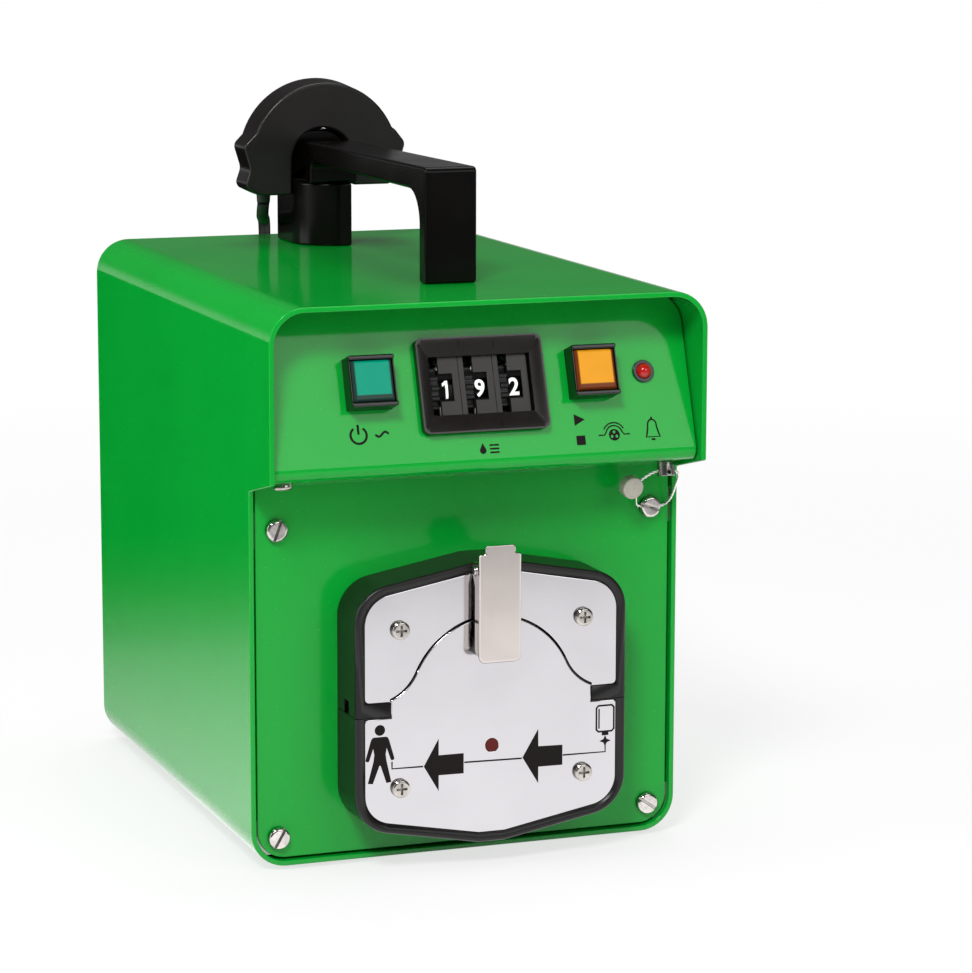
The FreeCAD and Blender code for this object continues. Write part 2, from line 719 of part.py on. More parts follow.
def face_notch(y0, y1):
    """Black bars either side of the face plates, at the height of the tube slot."""
    bars = []
    for side in (-1, 1):
        x0 = head_x + side * slot_inner_x
        x1 = head_x + side * (head_half - rim_width + 1)
        bars.append(box(min(x0, x1), max(x0, x1), y0, y1, slot_low - 0.3, slot_high))
    return bars


# --- Pump block: the fixed lower half, with the rotor's pocket ------------------------------------------
pump_block = head_outline(0, -10, split_z)
pump_block = pump_block.cut(head_slab(rim_width, rim_face - 1, metal_back, -10, split_z - 0.3))
# The face plate's strip crosses the slot in front of the block.
pump_block = pump_block.cut(box(head_x - slot_inner_x, head_x + slot_inner_x, rim_face - 1, metal_back,
                                split_z - 1, split_z + 1))
pocket_radius = track_radius
pump_block = pump_block.cut(rod(vec(head_x, cavity_front, head_z), Y_AXIS, cavity_back - cavity_front,
                                pocket_radius))
pump_block = pump_block.cut(rod(vec(head_x, cavity_front, head_z), Y_AXIS, 40, shaft_clearance - 2))
guide_y = plate_face - 8.0
for side in (-1, 1):
    pump_block = pump_block.cut(rod(vec(head_x + side * guide_x, guide_y, guide_bottom), Z_AXIS, 60,
                                    guide_radius))
for x, z in head_bolt_places:
    pump_block = pump_block.cut(rod(vec(x, plate_face - 10, z), Y_AXIS, 20, head_bolt_radius))
face_screw_radius = 2.0
face_screw_hole_depth = 9.0
for side in (-1, 1):
    pump_block = pump_block.cut(rod(vec(head_x + side * face_screw_x, metal_back - 1, head_z - face_screw_rise),
                                    Y_AXIS, face_screw_hole_depth, face_screw_radius))
catch_z = 97.0
back_wall = head_slab(0, cavity_back, plate_face, split_z, head_z + 30)
back_wall = back_wall.common(rod(vec(head_x, cavity_back, head_z), Y_AXIS, 10, track_radius - 3.0))
back_wall = back_wall.cut(rod(vec(head_x, cavity_front, head_z), Y_AXIS, 40, shaft_clearance - 2))
pump_block = pump_block.fuse(back_wall).removeSplitter()
export("pump_block", pump_block)

# --- Pressure jaw: the upper half, which slides up on two guide rods --------------------------------------
jaw = head_outline(0, jaw_bottom, 400)
jaw = jaw.cut(head_slab(rim_width, rim_face - 1, metal_back, slot_high, 400))
jaw = jaw.cut(box(head_x - slot_inner_x, head_x + slot_inner_x, rim_face - 1, metal_back, -10, 90))
jaw = jaw.cut(rod(vec(head_x, cavity_front - 1, head_z), Y_AXIS, cavity_back - cavity_front + 1, track_radius))
jaw = jaw.cut(rod(vec(head_x, cavity_front - 1, head_z), Y_AXIS, 40, track_radius - 2.7))
jaw = jaw.cut(box(head_x - track_radius + 2.7, head_x + track_radius - 2.7, cavity_back - 1,
                  plate_face + 1, jaw_bottom - 1, head_z))
jaw = jaw.cut(box(-200, 200, slot_y - tube_slot / 2, slot_y + tube_slot / 2, jaw_bottom - 1, slot_high))
for side in (-1, 1):
    bore = rod(vec(head_x + side * guide_x, guide_y, jaw_bottom - 1), Z_AXIS, guide_top + 1.5 - jaw_bottom,
               guide_radius + running_gap)
    jaw = jaw.cut(bore)
    jaw = jaw.cut(rod(vec(head_x + side * face_screw_x, metal_back - 1, head_z + face_screw_rise),
                      Y_AXIS, face_screw_hole_depth, face_screw_radius))
lug = rod(vec(head_x - lever_lug_half, lever_pin_y, lever_pin_z), X_AXIS, 2 * lever_lug_half, lever_lug_radius)
lug = lug.fuse(box(head_x - lever_lug_half, head_x + lever_lug_half, lever_pin_y, metal_back + 1,
                   lever_pin_z - lever_lug_radius, lever_pin_z + lever_lug_radius))
jaw = jaw.fuse(lug).removeSplitter()
jaw = jaw.cut(rod(vec(head_x - 20, lever_pin_y, lever_pin_z), X_AXIS, 40, lever_pin_radius + running_gap))
# The jaw stands off the front plate, so that it slides without rubbing the paint.
jaw = jaw.cut(box(-200, 200, plate_face - 0.3, plate_face + 1, 0, 300))
export("pressure_jaw", jaw)

guide_rods = [rod(vec(head_x + side * guide_x, guide_y, guide_bottom), Z_AXIS, guide_top - guide_bottom,
                  guide_radius) for side in (-1, 1)]
export("guide_rods", grouped(guide_rods))


# --- Metal face plates --------------------------------------------------------------------------------------
def arch_corners(radius, gap):
    """Points where the arch meets its return curves, and where these meet the slot's top edge."""
    reach = radius + arch_return_radius
    centre_rise = slot_high - head_z + arch_return_radius
    centre_x = math.sqrt(reach ** 2 - centre_rise ** 2)
    join_x = centre_x * radius / reach
    join_z = head_z + centre_rise * radius / reach
    return centre_x, head_z + centre_rise, join_x, join_z


def arch_shape(shrink):
    """Bell-shaped lobe under the arch: a disc plus two flared feet; shrink makes it smaller all round."""
    centre_x, centre_z, join_x, join_z = arch_corners(arch_radius, 0)
    return_radius = arch_return_radius + shrink
    lobe = rod(vec(head_x, metal_face, head_z), Y_AXIS, face_sheet, arch_radius - shrink)
    feet = box(head_x - centre_x, head_x + centre_x, metal_face, metal_back, slot_high - 0.001, join_z)
    for side in (-1, 1):
        feet = feet.cut(rod(vec(head_x + side * centre_x, metal_face - 1, centre_z), Y_AXIS, 10, return_radius))
    # Only the part of the feet inside the slot bars belongs to the lobe.
    feet = feet.common(box(head_x - slot_inner_x, head_x + slot_inner_x, -100, 100, 0, 300))
    return lobe.fuse(feet)


plate_gap = 0.35
top_half = head_slab(rim_width + plate_gap, metal_face, metal_back, slot_high + 0.2, 400)
jaw_plate = top_half.cut(arch_shape(0))
jaw_plate = jaw_plate.cut(box(head_x - lever_lug_half - 0.5, head_x + lever_lug_half + 0.5, 0, 30,
                              lever_pin_z - lever_lug_radius - 0.4, 200))
for side in (-1, 1):
    jaw_plate = jaw_plate.cut(rod(vec(head_x + side * face_screw_x, metal_face - 1, head_z + face_screw_rise),
                                  Y_AXIS, 5, face_screw_radius + 0.2))


def plate_corners(plate, z):
    """Edges of a face plate's two outer corners at height z."""
    side = head_half - rim_width - plate_gap
    return [edge for edge in plate.Edges if abs(abs(edge.CenterOfMass.x - head_x) - side) < 0.05
            and abs(edge.CenterOfMass.z - z) < 0.05]


jaw_plate = jaw_plate.makeFillet(2.4, plate_corners(jaw_plate, slot_high + 0.2))
export("jaw_face_plate", jaw_plate)

low_half = head_slab(rim_width + plate_gap, metal_face, metal_back, -10, split_z - 0.6)
strip = box(head_x - slot_inner_x + 0.4, head_x + slot_inner_x - 0.4, metal_face, metal_back,
            split_z - 0.6, slot_high)
lobe = arch_shape(arch_gap).common(box(-200, 200, -100, 100, head_z, 300))
block_plate = low_half.fuse(strip).fuse(lobe).removeSplitter()
for side in (-1, 1):
    block_plate = block_plate.cut(rod(vec(head_x + side * face_screw_x, metal_face - 1,
                                          head_z - face_screw_rise), Y_AXIS, 5, face_screw_radius + 0.2))
block_plate = block_plate.cut(rod(vec(head_x, metal_face - 1, window_z), Y_AXIS, 5, window_radius))
catch_peg_radius = 1.5
block_plate = block_plate.cut(rod(vec(head_x, metal_face - 1, catch_z), Y_AXIS, 5, catch_peg_radius))
block_plate = block_plate.makeFillet(1.6, plate_corners(block_plate, split_z - 0.6))
export("block_face_plate", block_plate)

jaw_screws = []
for side in (-1, 1):
    for group, rise in ((jaw_screws, face_screw_rise), (cross_screws, -face_screw_rise)):
        group.append(pan_screw(vec(head_x + side * face_screw_x, metal_face, head_z + rise), vec(0, -1, 0),
                               cross_head_radius, cross_head_height, face_screw_radius, 8))
export("jaw_plate_screws", grouped(jaw_screws))

run_window = rod(vec(head_x, metal_face - 0.2, window_z), Y_AXIS, face_sheet + 0.2, window_radius)
run_window = run_window.fuse(rod(vec(head_x, metal_back, window_z), Y_AXIS, 1.0, window_radius + 1.0))
export("run_window", run_window)

# --- Rotor, rollers and shaft -----------------------------------------------------------------------------
rotor_front = cavity_front + 3.0
rotor_back = rotor_front + rotor_thick
flange_thick = 2.0
roller_gap = 0.4
shaft_key = 1.4


def rotor_part():
    """Two discs, a hub and three riveted pins; the rollers turn on the pins between the discs."""
    front = rod(vec(head_x, rotor_front, head_z), Y_AXIS, flange_thick, rotor_radius + 7)
    back = rod(vec(head_x, rotor_back - flange_thick, head_z), Y_AXIS, flange_thick, rotor_radius + 7)
    hub = rod(vec(head_x, rotor_front, head_z), Y_AXIS, rotor_thick, 10.0)
    body = front.fuse(back).fuse(hub)
    body = body.cut(rod(vec(head_x, rotor_front - 1, head_z), Y_AXIS, rotor_thick + 2, shaft_radius))
    for angle in roller_angles:
        place = roller_place(angle)
        body = body.fuse(rod(vec(place.x, rotor_front, place.z), Y_AXIS, rotor_thick, roller_pin_radius))
    return body.removeSplitter()


def roller_place(angle):
    return vec(head_x + roller_orbit * math.cos(angle), 0, head_z + roller_orbit * math.sin(angle))


roller_angles = [math.radians(90 + 360 * index / roller_count) for index in range(roller_count)]
export("rotor", rotor_part())
for index, angle in enumerate(roller_angles):
    place = roller_place(angle)
    roller_front = rotor_front + flange_thick + roller_gap
    roller_length = rotor_thick - 2 * flange_thick - 2 * roller_gap
    roller = tube(vec(place.x, roller_front, place.z), Y_AXIS, roller_length, roller_radius,
                  roller_pin_radius + running_gap)
    export("roller_" + str(index + 1), roller)

bearing_outer = 11.0
bearing_width = 7.0
bearing_front = plate_back + 4.0
bearing_gap = 14.0
housing_end = bearing_front + 2 * bearing_width + bearing_gap + 2.0
drive_shaft = rod(vec(head_x, rotor_front, head_z), Y_AXIS, housing_end + 12.0 - rotor_front, shaft_radius)
export("drive_shaft", drive_shaft)

bearing_rears = [bearing_front, bearing_front + bearing_width + bearing_gap]
bearing_housing = rod(vec(head_x, plate_back, head_z), Y_AXIS, housing_end - plate_back,
                      bearing_outer + 4)
bearing_housing = bearing_housing.fuse(rod(vec(head_x, plate_back, head_z), Y_AXIS, 4, 27.0))
bearing_housing = bearing_housing.cut(rod(vec(head_x, plate_back - 1, head_z), Y_AXIS, 60, shaft_radius + 2))
for start in bearing_rears:
    bearing_housing = bearing_housing.cut(rod(vec(head_x, start, head_z), Y_AXIS, bearing_width,
                                              bearing_outer))
housing_bolt_radius = 1.6
for quarter in range(4):
    angle = math.radians(45 + 90 * quarter)
    bearing_housing = bearing_housing.cut(rod(vec(head_x + 22 * math.cos(angle), plate_back - 1,
                                                  head_z + 22 * math.sin(angle)), Y_AXIS, 9,
                                              housing_bolt_radius))
export("bearing_housing", bearing_housing)
bearings = [tube(vec(head_x, start, head_z), Y_AXIS, bearing_width, bearing_outer,
                 shaft_radius + running_gap) for start in bearing_rears]
export("shaft_bearings", grouped(bearings))

# --- Latch lever --------------------------------------------------------------------------------------------
lever_left = head_x - lever_half
lever_right = head_x + lever_half
flange_back = lever_face + lever_flange
ear_back = lever_pin_y + 3.4
lever = front_prism([(lever_left, lever_bottom, 3.0), (lever_right, lever_bottom, 3.0),
                     (lever_right, lever_shoulder, 0), (head_x + lever_neck, lever_shoulder, 1.2),
                     (head_x + lever_neck, lever_top, 1.2), (head_x - lever_neck, lever_top, 1.2),
                     (head_x - lever_neck, lever_shoulder, 1.2), (lever_left, lever_shoulder, 0)],
                    lever_face, lever_face + lever_sheet)
for x0 in (lever_left, lever_right - lever_sheet):
    flange = side_prism([(lever_face + 0.6, lever_bottom + 3, 0), (flange_back, lever_bottom + 3, 3.0),
                         (flange_back, lever_pin_z - 7, 1.0), (ear_back, lever_pin_z - 2, 0),
                         (lever_pin_y, lever_pin_z + lever_ear_radius, 0),
                         (lever_face + 2.4, lever_pin_z + lever_ear_radius + 0.6, 1.5),
                         (lever_face + 1.8, lever_shoulder, 0), (lever_face + 0.6, lever_shoulder, 0)],
                        x0, x0 + lever_sheet)
    ear = rod(vec(x0, lever_pin_y, lever_pin_z), X_AXIS, lever_sheet, lever_ear_radius)
    lever = lever.fuse(flange).fuse(ear)
lever = lever.removeSplitter()
fold_edges = [edge for edge in lever.Edges if edge.Length > 30
              and abs(edge.CenterOfMass.y - lever_face) < 0.01
              and min(abs(edge.CenterOfMass.x - lever_left), abs(edge.CenterOfMass.x - lever_right)) < 0.01]
lever = lever.makeFillet(1.3, fold_edges)
lever = lever.cut(rod(vec(head_x - 20, lever_pin_y, lever_pin_z), X_AXIS, 40, lever_pin_radius))
export("latch_lever", lever)
lever_pin = rod(vec(lever_left - 0.9, lever_pin_y, lever_pin_z), X_AXIS, 2 * lever_half + 1.8,
                lever_pin_radius)
export("latch_pin", lever_pin)

catch_half = lever_half - lever_sheet - 0.3
catch = rounded_box(head_x - catch_half, head_x + catch_half, lever_face + lever_sheet + 0.4, metal_face,
                    catch_z - 4, catch_z + 4, 1.5)
catch = catch.fuse(rod(vec(head_x, metal_face, catch_z), Y_AXIS, face_sheet, catch_peg_radius))
catch = catch.fuse(rod(vec(head_x, metal_back, catch_z), Y_AXIS, 1.2, catch_peg_radius + 1.2))
export("latch_catch", catch)

# --- Gear motor behind the bearing housing ---------------------------------------------------------------------
gearbox_front = housing_end
gearbox_length = 28.0
gearbox_half = 26.0
motor_radius = 24.0
motor_length = 58.0
gearbox = rounded_box(head_x - gearbox_half, head_x + gearbox_half, gearbox_front,
                      gearbox_front + gearbox_length, head_z - gearbox_half, head_z + gearbox_half, 4.0)
gearbox = gearbox.cut(rod(vec(head_x, gearbox_front - 1, head_z), Y_AXIS, 13.5, shaft_radius + running_gap))
export("gearbox", gearbox)
motor_front = gearbox_front + gearbox_length
motor = rod(vec(head_x, motor_front, head_z), Y_AXIS, motor_length, motor_radius)
motor = motor.fuse(rod(vec(head_x, motor_front + motor_length, head_z), Y_AXIS, 4, 9.0))
export("drive_motor", motor)

# --- Power supply on the floor of the case --------------------------------------------------------------------
floor_top = sheet
# Transformer: laminated core with a winding through its two windows.
core_x = -44.0
core_y = 218.0
core = box(core_x - 33, core_x + 33, core_y - 14, core_y + 14, floor_top, floor_top + 56)
for side in (-1, 1):
    core = core.cut(box(core_x + side * 16.5 - 5.5, core_x + side * 16.5 + 5.5, core_y - 20, core_y + 20,
                        floor_top + 11, floor_top + 45))
export("transformer_core", core)
winding = rounded_box(core_x - 21.5, core_x + 21.5, core_y - 24, core_y + 24, floor_top + 11.5,
                      floor_top + 44.5, 2.0)
winding = winding.cut(box(core_x - 11.5, core_x + 11.5, core_y - 14.2, core_y + 14.2, floor_top + 11,
                          floor_top + 45))
for side in (-1, 1):
    winding = winding.cut(box(core_x + side * 27 - 5, core_x + side * 27 + 5, core_y - 14.2, core_y + 14.2,
                              floor_top, floor_top + 60))
export("transformer_winding", winding)

# Battery block, so that the pump also runs away from the mains.
battery_x = 52.0
battery_y = 214.0
battery = rounded_box(battery_x - 34, battery_x + 34, battery_y - 24, battery_y + 24, floor_top,
                      floor_top + 62, 2.0)
for side in (-1, 1):
    battery = battery.fuse(box(battery_x + side * 24 - 3, battery_x + side * 24 + 3, battery_y - 0.4,
                               battery_y + 0.4, floor_top + 62, floor_top + 69))
export("battery_block", battery)

# Main board on four pillars fixed to the side of the case.
board_x = -inner_x + 12.0
board_sheet = 1.6
main_board = box(board_x, board_x + board_sheet, 62, 262, 84, 204)
for y, z, length, height, thick in ((90, 110, 22, 8, 5), (90, 132, 22, 8, 5), (90, 154, 34, 14, 6),
                                    (140, 110, 22, 8, 5), (140, 132, 34, 14, 6), (140, 170, 22, 8, 5),
                                    (200, 120, 40, 14, 6), (200, 160, 18, 18, 14)):
    main_board = main_board.fuse(box(board_x + board_sheet, board_x + board_sheet + thick, y, y + length,
                                     z, z + height))
pillars = []
for y in (70, 254):
    for z in (92, 196):
        pillars.append(rod(vec(-inner_x, y, z), X_AXIS, board_x + inner_x, 3.5))
export("main_board", main_board)
export("board_pillars", grouped(pillars))

# --- Rear panel ---------------------------------------------------------------------------------------------------
rear_panel = front_prism(inside_outline(panel_gap), rear_inside, rear_face)
for side in (-1, 1):
    for z in (corner_screw_low, rear_screw_high):
        rear_panel = rear_panel.cut(rod(vec(side * corner_screw_x, rear_inside - 1, z), Y_AXIS, 10,
                                        corner_screw_radius + 0.2))
rear_panel = rear_panel.cut(box(inlet_x - inlet_width / 2, inlet_x + inlet_width / 2, rear_inside - 1,
                                rear_face + 1, inlet_z - inlet_height / 2, inlet_z + inlet_height / 2))
fuse_place = vec(fuse_x, rear_face, fuse_z)
fuse_body_radius = 6.0
rear_panel = rear_panel.cut(rod(fuse_place - Y_AXIS * 10, Y_AXIS, 20, fuse_body_radius))
rear_panel = rear_panel.cut(rod(vec(socket_x, rear_inside - 1, socket_z), Y_AXIS, 10, socket_radius - 1.5))
vent_count = 7
for index in range(vent_count):
    z = 168 + index * 8
    rear_panel = rear_panel.cut(rounded_box(-45, 45, rear_inside - 1, rear_face + 1, z, z + 3.4, 1.6))
export("rear_panel", rear_panel)
for side, z, slot_angle in ((-1, corner_screw_low, 20), (-1, rear_screw_high, -50),
                            (1, corner_screw_low, 75), (1, rear_screw_high, 5)):
    plate_screws.append(pan_screw(vec(side * corner_screw_x, rear_face, z), Y_AXIS, slotted_head_radius,
                                  slotted_head_height, corner_screw_radius, corner_shank, slot_angle))
export("slotted_screws", grouped(plate_screws))

# Mains inlet with three flat pins.
inlet_flange = rounded_box(inlet_x - 25, inlet_x + 25, rear_face, rear_face + 3, inlet_z - 13, inlet_z + 13, 3)
inlet = inlet_flange.fuse(box(inlet_x - inlet_width / 2 + 0.1, inlet_x + inlet_width / 2 - 0.1,
                              rear_face - 22, rear_face, inlet_z - inlet_height / 2 + 0.1,
                              inlet_z + inlet_height / 2 - 0.1))
inlet = inlet.cut(rounded_box(inlet_x - 12.2, inlet_x + 12.2, rear_face - 17, rear_face + 10,
                              inlet_z - 8.2, inlet_z + 8.2, 2.5))
for x, z in ((-7, -1.5), (0, 2.5), (7, -1.5)):
    inlet = inlet.fuse(box(inlet_x + x - 1, inlet_x + x + 1, rear_face - 27, rear_face - 3, inlet_z + z - 2,
                           inlet_z + z + 2))
for side in (-1, 1):
    inlet = inlet.cut(rod(vec(inlet_x + side * 20, rear_face - 5, inlet_z), Y_AXIS, 20, 1.6))
export("mains_inlet", inlet)

# Fuse holder with a turn-off cap.
cap_reach = most_rearward - rear_face
holder = tube(fuse_place, Y_AXIS, 3.0, fuse_cap_radius + 1.0, fuse_body_radius - 1.2)
holder = holder.fuse(tube(fuse_place - Y_AXIS * 30, Y_AXIS, 30, fuse_body_radius - 0.05, fuse_body_radius - 1.2))
holder = holder.fuse(rod(fuse_place - Y_AXIS * 32, Y_AXIS, 2, fuse_body_radius - 0.05))
export("fuse_holder", holder)
fuse_cap = rod(fuse_place + Y_AXIS * 3.2, Y_AXIS, cap_reach - 3.2, fuse_cap_radius)
fuse_cap = fuse_cap.fuse(rod(fuse_place - Y_AXIS * 4, Y_AXIS, 8, fuse_body_radius - 1.2 - running_gap))
for notch in range(12):
    angle = 2 * math.pi * notch / 12
    rim = fuse_place + vec(fuse_cap_radius * math.cos(angle), 4.5, fuse_cap_radius * math.sin(angle))
    fuse_cap = fuse_cap.cut(rod(rim, Y_AXIS, 20, 0.9))
fuse_cap = fuse_cap.cut(box(fuse_x - 5, fuse_x + 5, most_rearward - 1.5, most_rearward + 1, fuse_z - 0.6,
                            fuse_z + 0.6))
export("fuse_cap", fuse_cap)

# Round socket for the drop sensor's plug.
socket = tube(vec(socket_x, rear_face, socket_z), Y_AXIS, 3.0, socket_radius + 2, socket_radius - 2.5)
socket = socket.fuse(tube(vec(socket_x, rear_face - 16, socket_z), Y_AXIS, 16, socket_radius - 1.6,
                          socket_radius - 2.5))
socket = socket.fuse(rod(vec(socket_x, rear_face - 18, socket_z), Y_AXIS, 2, socket_radius - 1.6))
export("sensor_socket", socket)

# --- Feet ---------------------------------------------------------------------------------------------------------
feet = []
for place in foot_places:
    foot = Part.makeCone(foot_radius - 1, foot_radius, foot_height, place - Z_AXIS * foot_height)
    feet.append(foot.fuse(rod(place, Z_AXIS, sheet, foot_stem_radius)))
export("feet", grouped(feet))

# --- Carrying handle ------------------------------------------------------------------------------------------------
handle_left = handle_x - handle_half
handle_right = handle_x + handle_half
handle_profile = [(handle_front, case_height, 0), (handle_front, handle_bar_top, 2.5),
                  (handle_bar_end, handle_bar_top - 1.4, 1.5), (handle_bar_end, post_top, 0),
                  (handle_bar_end - handle_leg, post_top, 0),
                  (handle_bar_end - handle_leg, handle_bar_bottom, 3.0),
                  (handle_front + handle_leg, handle_bar_bottom, handle_fillet),
                  (handle_front + handle_leg, case_height, 0)]
handle = side_prism(handle_profile, handle_left, handle_right)
long_edges = [edge for edge in handle.Edges
              if abs(edge.CenterOfMass.y - (handle_front + handle_bar_end) / 2) < 8
              and edge.CenterOfMass.z > handle_bar_top - 3]
handle = handle.makeFillet(1.2, long_edges)
handle = handle.cut(rod(vec(handle_screw_holes[0].x, handle_screw_holes[0].y, case_height - 1), Z_AXIS, 15,
                        handle_screw_radius))
export("handle", handle)
post = plan_prism([(post_left, post_front, post_radius), (post_right, post_front, 1.0),
                   (post_right, post_back, 1.0), (post_left, post_back, 1.0)], case_height, post_top)
post = post.cut(rod(vec(handle_screw_holes[1].x, handle_screw_holes[1].y, case_height - 1), Z_AXIS, 15,
                    handle_screw_radius))
holder_front = sensor_front + holder_inset
holder_back = sensor_front + sensor_thick - 1
holder = rod(vec(sensor_bore_x, holder_front, sensor_centre_z), Y_AXIS, holder_back - holder_front, holder_radius)
holder = holder.fuse(box(sensor_bore_x - holder_radius, sensor_bore_x + holder_radius, holder_front,
                         holder_back, post_top - 3, sensor_centre_z))
holder = holder.common(box(-100, 100, 0, 400, post_top - 3, sensor_centre_z + holder_rise))
post = post.fuse(holder).removeSplitter()
export("handle_rear_post", post)
for hole in handle_screw_holes:
    cross_screws.append(pan_screw(vec(hole.x, hole.y, case_height - sheet), Z_AXIS * -1, cross_head_radius,
                                  cross_head_height, handle_screw_radius, 8))
export("cross_head_screws", grouped(cross_screws))

# --- Drop sensor: a horseshoe that straddles the handle's rear end ----------------------------------------------------
ear_low = sensor_bottom + 2.0
ear_high = sensor_centre_z + 11.5
left = sensor_x - sensor_half
right = sensor_x + sensor_half
sensor_back = sensor_front + sensor_thick
arch = Part.makeCone(sensor_radius, sensor_radius + sensor_draft, sensor_thick,
                     vec(sensor_x, sensor_front, sensor_centre_z), Y_AXIS)
arch = arch.common(box(-300, 300, 0, 400, sensor_centre_z, sensor_centre_z + 2 * sensor_radius))
arms = front_prism([(left + 8, sensor_bottom, 3.0), (sensor_x, sensor_bottom, 0), (sensor_x, sensor_right_bottom, 0),
                    (right - 8, sensor_right_bottom, 3.0), (right, sensor_right_bottom + 5, 3.0),
                    (right - 2.4, sensor_centre_z - 2, 6.0), (right + 0.6, ear_high - 4, 4.0),
                    (right - 5, ear_high + 3, 3.0), (left + 6, ear_high + 3, 3.0),
                    (left - 0.9, ear_high - 4, 4.0), (left + 2.6, sensor_centre_z - 4, 6.0),
                    (left - 0.4, ear_low + 2, 3.5)], sensor_front, sensor_back)
sensor = arch.fuse(arms)
sensor = sensor.cut(rod(vec(sensor_bore_x, sensor_front - 1, sensor_centre_z), Y_AXIS, sensor_thick + 2,
                        sensor_bore))
sensor = sensor.cut(box(sensor_bore_x - sensor_bore, sensor_bore_x + sensor_bore, sensor_front - 1,
                        sensor_back + 1, 200, sensor_centre_z))
rib = box(sensor_bore_x - 2, sensor_bore_x + 2, holder_front + 2, holder_back - 3,
          sensor_centre_z + holder_rise, sensor_centre_z + sensor_bore + 1)
sensor = sensor.fuse(rib).removeSplitter()
gland_x = -26.5
gland_y = sensor_front + sensor_thick / 2
gland_radius = 3.4
gland_inside = 8.0
gland_length = 4.0            # below the sensor
sensor = sensor.cut(rod(vec(gland_x, gland_y, sensor_bottom - 1), Z_AXIS, gland_inside + 1, gland_radius + 0.1))
export("drop_sensor", sensor)


# --- Sensor cable -------------------------------------------------------------------------------------------------------
def cord_path(points):
    """Straight runs joined by tangent arcs, each as large as its two runs allow."""
    edges = []
    radii = []
    last = points[0]
    for index in range(1, len(points) - 1):
        here = points[index]
        back = points[index - 1] - here
        ahead = points[index + 1] - here
        shorter = min(back.Length, ahead.Length)
        back.normalize()
        ahead.normalize()
        turn = math.pi - back.getAngle(ahead)
        radius = 0.45 * shorter / math.tan(turn / 2)
        run = 0.45 * shorter
        bisector = (back + ahead).normalize()
        depth = radius / math.cos(turn / 2) - radius
        start = here + back * run
        end = here + ahead * run
        edges.append(Part.LineSegment(last, start).toShape())
        edges.append(Part.Arc(start, here + bisector * depth, end).toShape())
        radii.append(radius)
        last = end
    edges.append(Part.LineSegment(last, points[-1]).toShape())
    return Part.Wire(edges), radii


def cord_tube(name, points, radius):
    wire, radii = cord_path(points)
    heading = points[1] - points[0]
    section = Part.Wire([Part.makeCircle(radius, points[0], heading)])
    solid = wire.makePipeShell([section], True, True)
    expected = math.pi * radius ** 2 * wire.Length
    print(name, "length", round(wire.Length, 1), "radii", [round(r, 1) for r in radii],
          "volume ratio", round(solid.Volume / expected, 4))
    return solid


drop_points = [vec(-26.5, 249.5, 272.0), vec(-26.3, 251.5, 266.6), vec(-24.8, 257.0, 263.0),
               vec(-21.2, 268.5, 260.6), vec(-14.9, 287.5, 258.6), vec(-9.8, 303.2, 250.2),
               vec(-7.6, 311.6, 235.0), vec(-7.2, 313.0, 208.0), vec(-9.0, 312.0, 166.0),
               vec(-7.5, 311.5, 120.0), vec(-10.0, 311.8, 80.0), vec(-12.0, 312.2, 52.0),
               vec(-13.6, 313.8, 30.0), vec(-15.0, 320.0, 12.5), vec(-15.4, 334.0, 1.3),
               vec(-15.4, 352.0, 1.0)]
gland_end = sensor_bottom - gland_length
coil_height = 4 * cable_radius + 0.6
coil_floor = -foot_height
coil = tube(vec(coil_centre_x, coil_centre_y, coil_floor), Z_AXIS, coil_height, coil_radius + 2 * cable_radius + 0.4,
            coil_radius - 2 * cable_radius - 0.4)
export("cable_coil", coil)
plug_tail_y = rear_face + 46.0
rise_points = [vec(8.0, 386.0, 6.6), vec(30.0, 388.2, 6.9), vec(48.5, 387.5, 19.0), vec(57.0, 383.5, 40.5),
               vec(58.0, 375.5, 61.0), vec(53.0, 357.0, 77.6), vec(socket_x, plug_tail_y, socket_z)]
# Both runs lead into the outer turns of the coil. The upper one starts just below the gland.
above_gland_end = rod(vec(gland_x, gland_y, gland_end - 0.3), Z_AXIS, 10, 2 * cable_radius)
export("cable_drop", cord_tube("cable_drop", drop_points, cable_radius).cut(coil).cut(above_gland_end))
export("cable_rise", cord_tube("cable_rise", rise_points, cable_radius).cut(coil))

gland = rod(vec(gland_x, gland_y, sensor_bottom), Z_AXIS, gland_inside, gland_radius)
gland = gland.fuse(Part.makeCone(gland_radius, cable_radius + 0.15, gland_length,
                                 vec(gland_x, gland_y, sensor_bottom), Z_AXIS * -1))
export("cable_gland", gland)
plug_start = vec(socket_x, rear_face - 12, socket_z)
plug = rod(plug_start, Y_AXIS, 16, socket_radius - 2.6)
plug = plug.fuse(rod(vec(socket_x, rear_face + 4, socket_z), Y_AXIS, 24, plug_radius + 2))
plug = plug.fuse(Part.makeCone(plug_radius, cable_radius + 0.3, plug_tail_y - rear_face - 28,
                               vec(socket_x, rear_face + 28, socket_z), Y_AXIS))
export("sensor_plug", plug)
tie_x = coil_centre_x - coil_radius
tie_half = 2 * cable_radius + 0.6
tie = rounded_box(tie_x - tie_half - 1.0, tie_x + tie_half + 1.0, coil_centre_y - 2.5, coil_centre_y + 2.5,
                  coil_floor, coil_floor + coil_height + 1.3, 2.0)
tie = tie.cut(box(tie_x - tie_half - 0.1, tie_x + tie_half + 0.1, coil_centre_y - 5, coil_centre_y + 5,
                  coil_floor - 1, coil_floor + coil_height + 0.2))
export("cable_tie", tie)

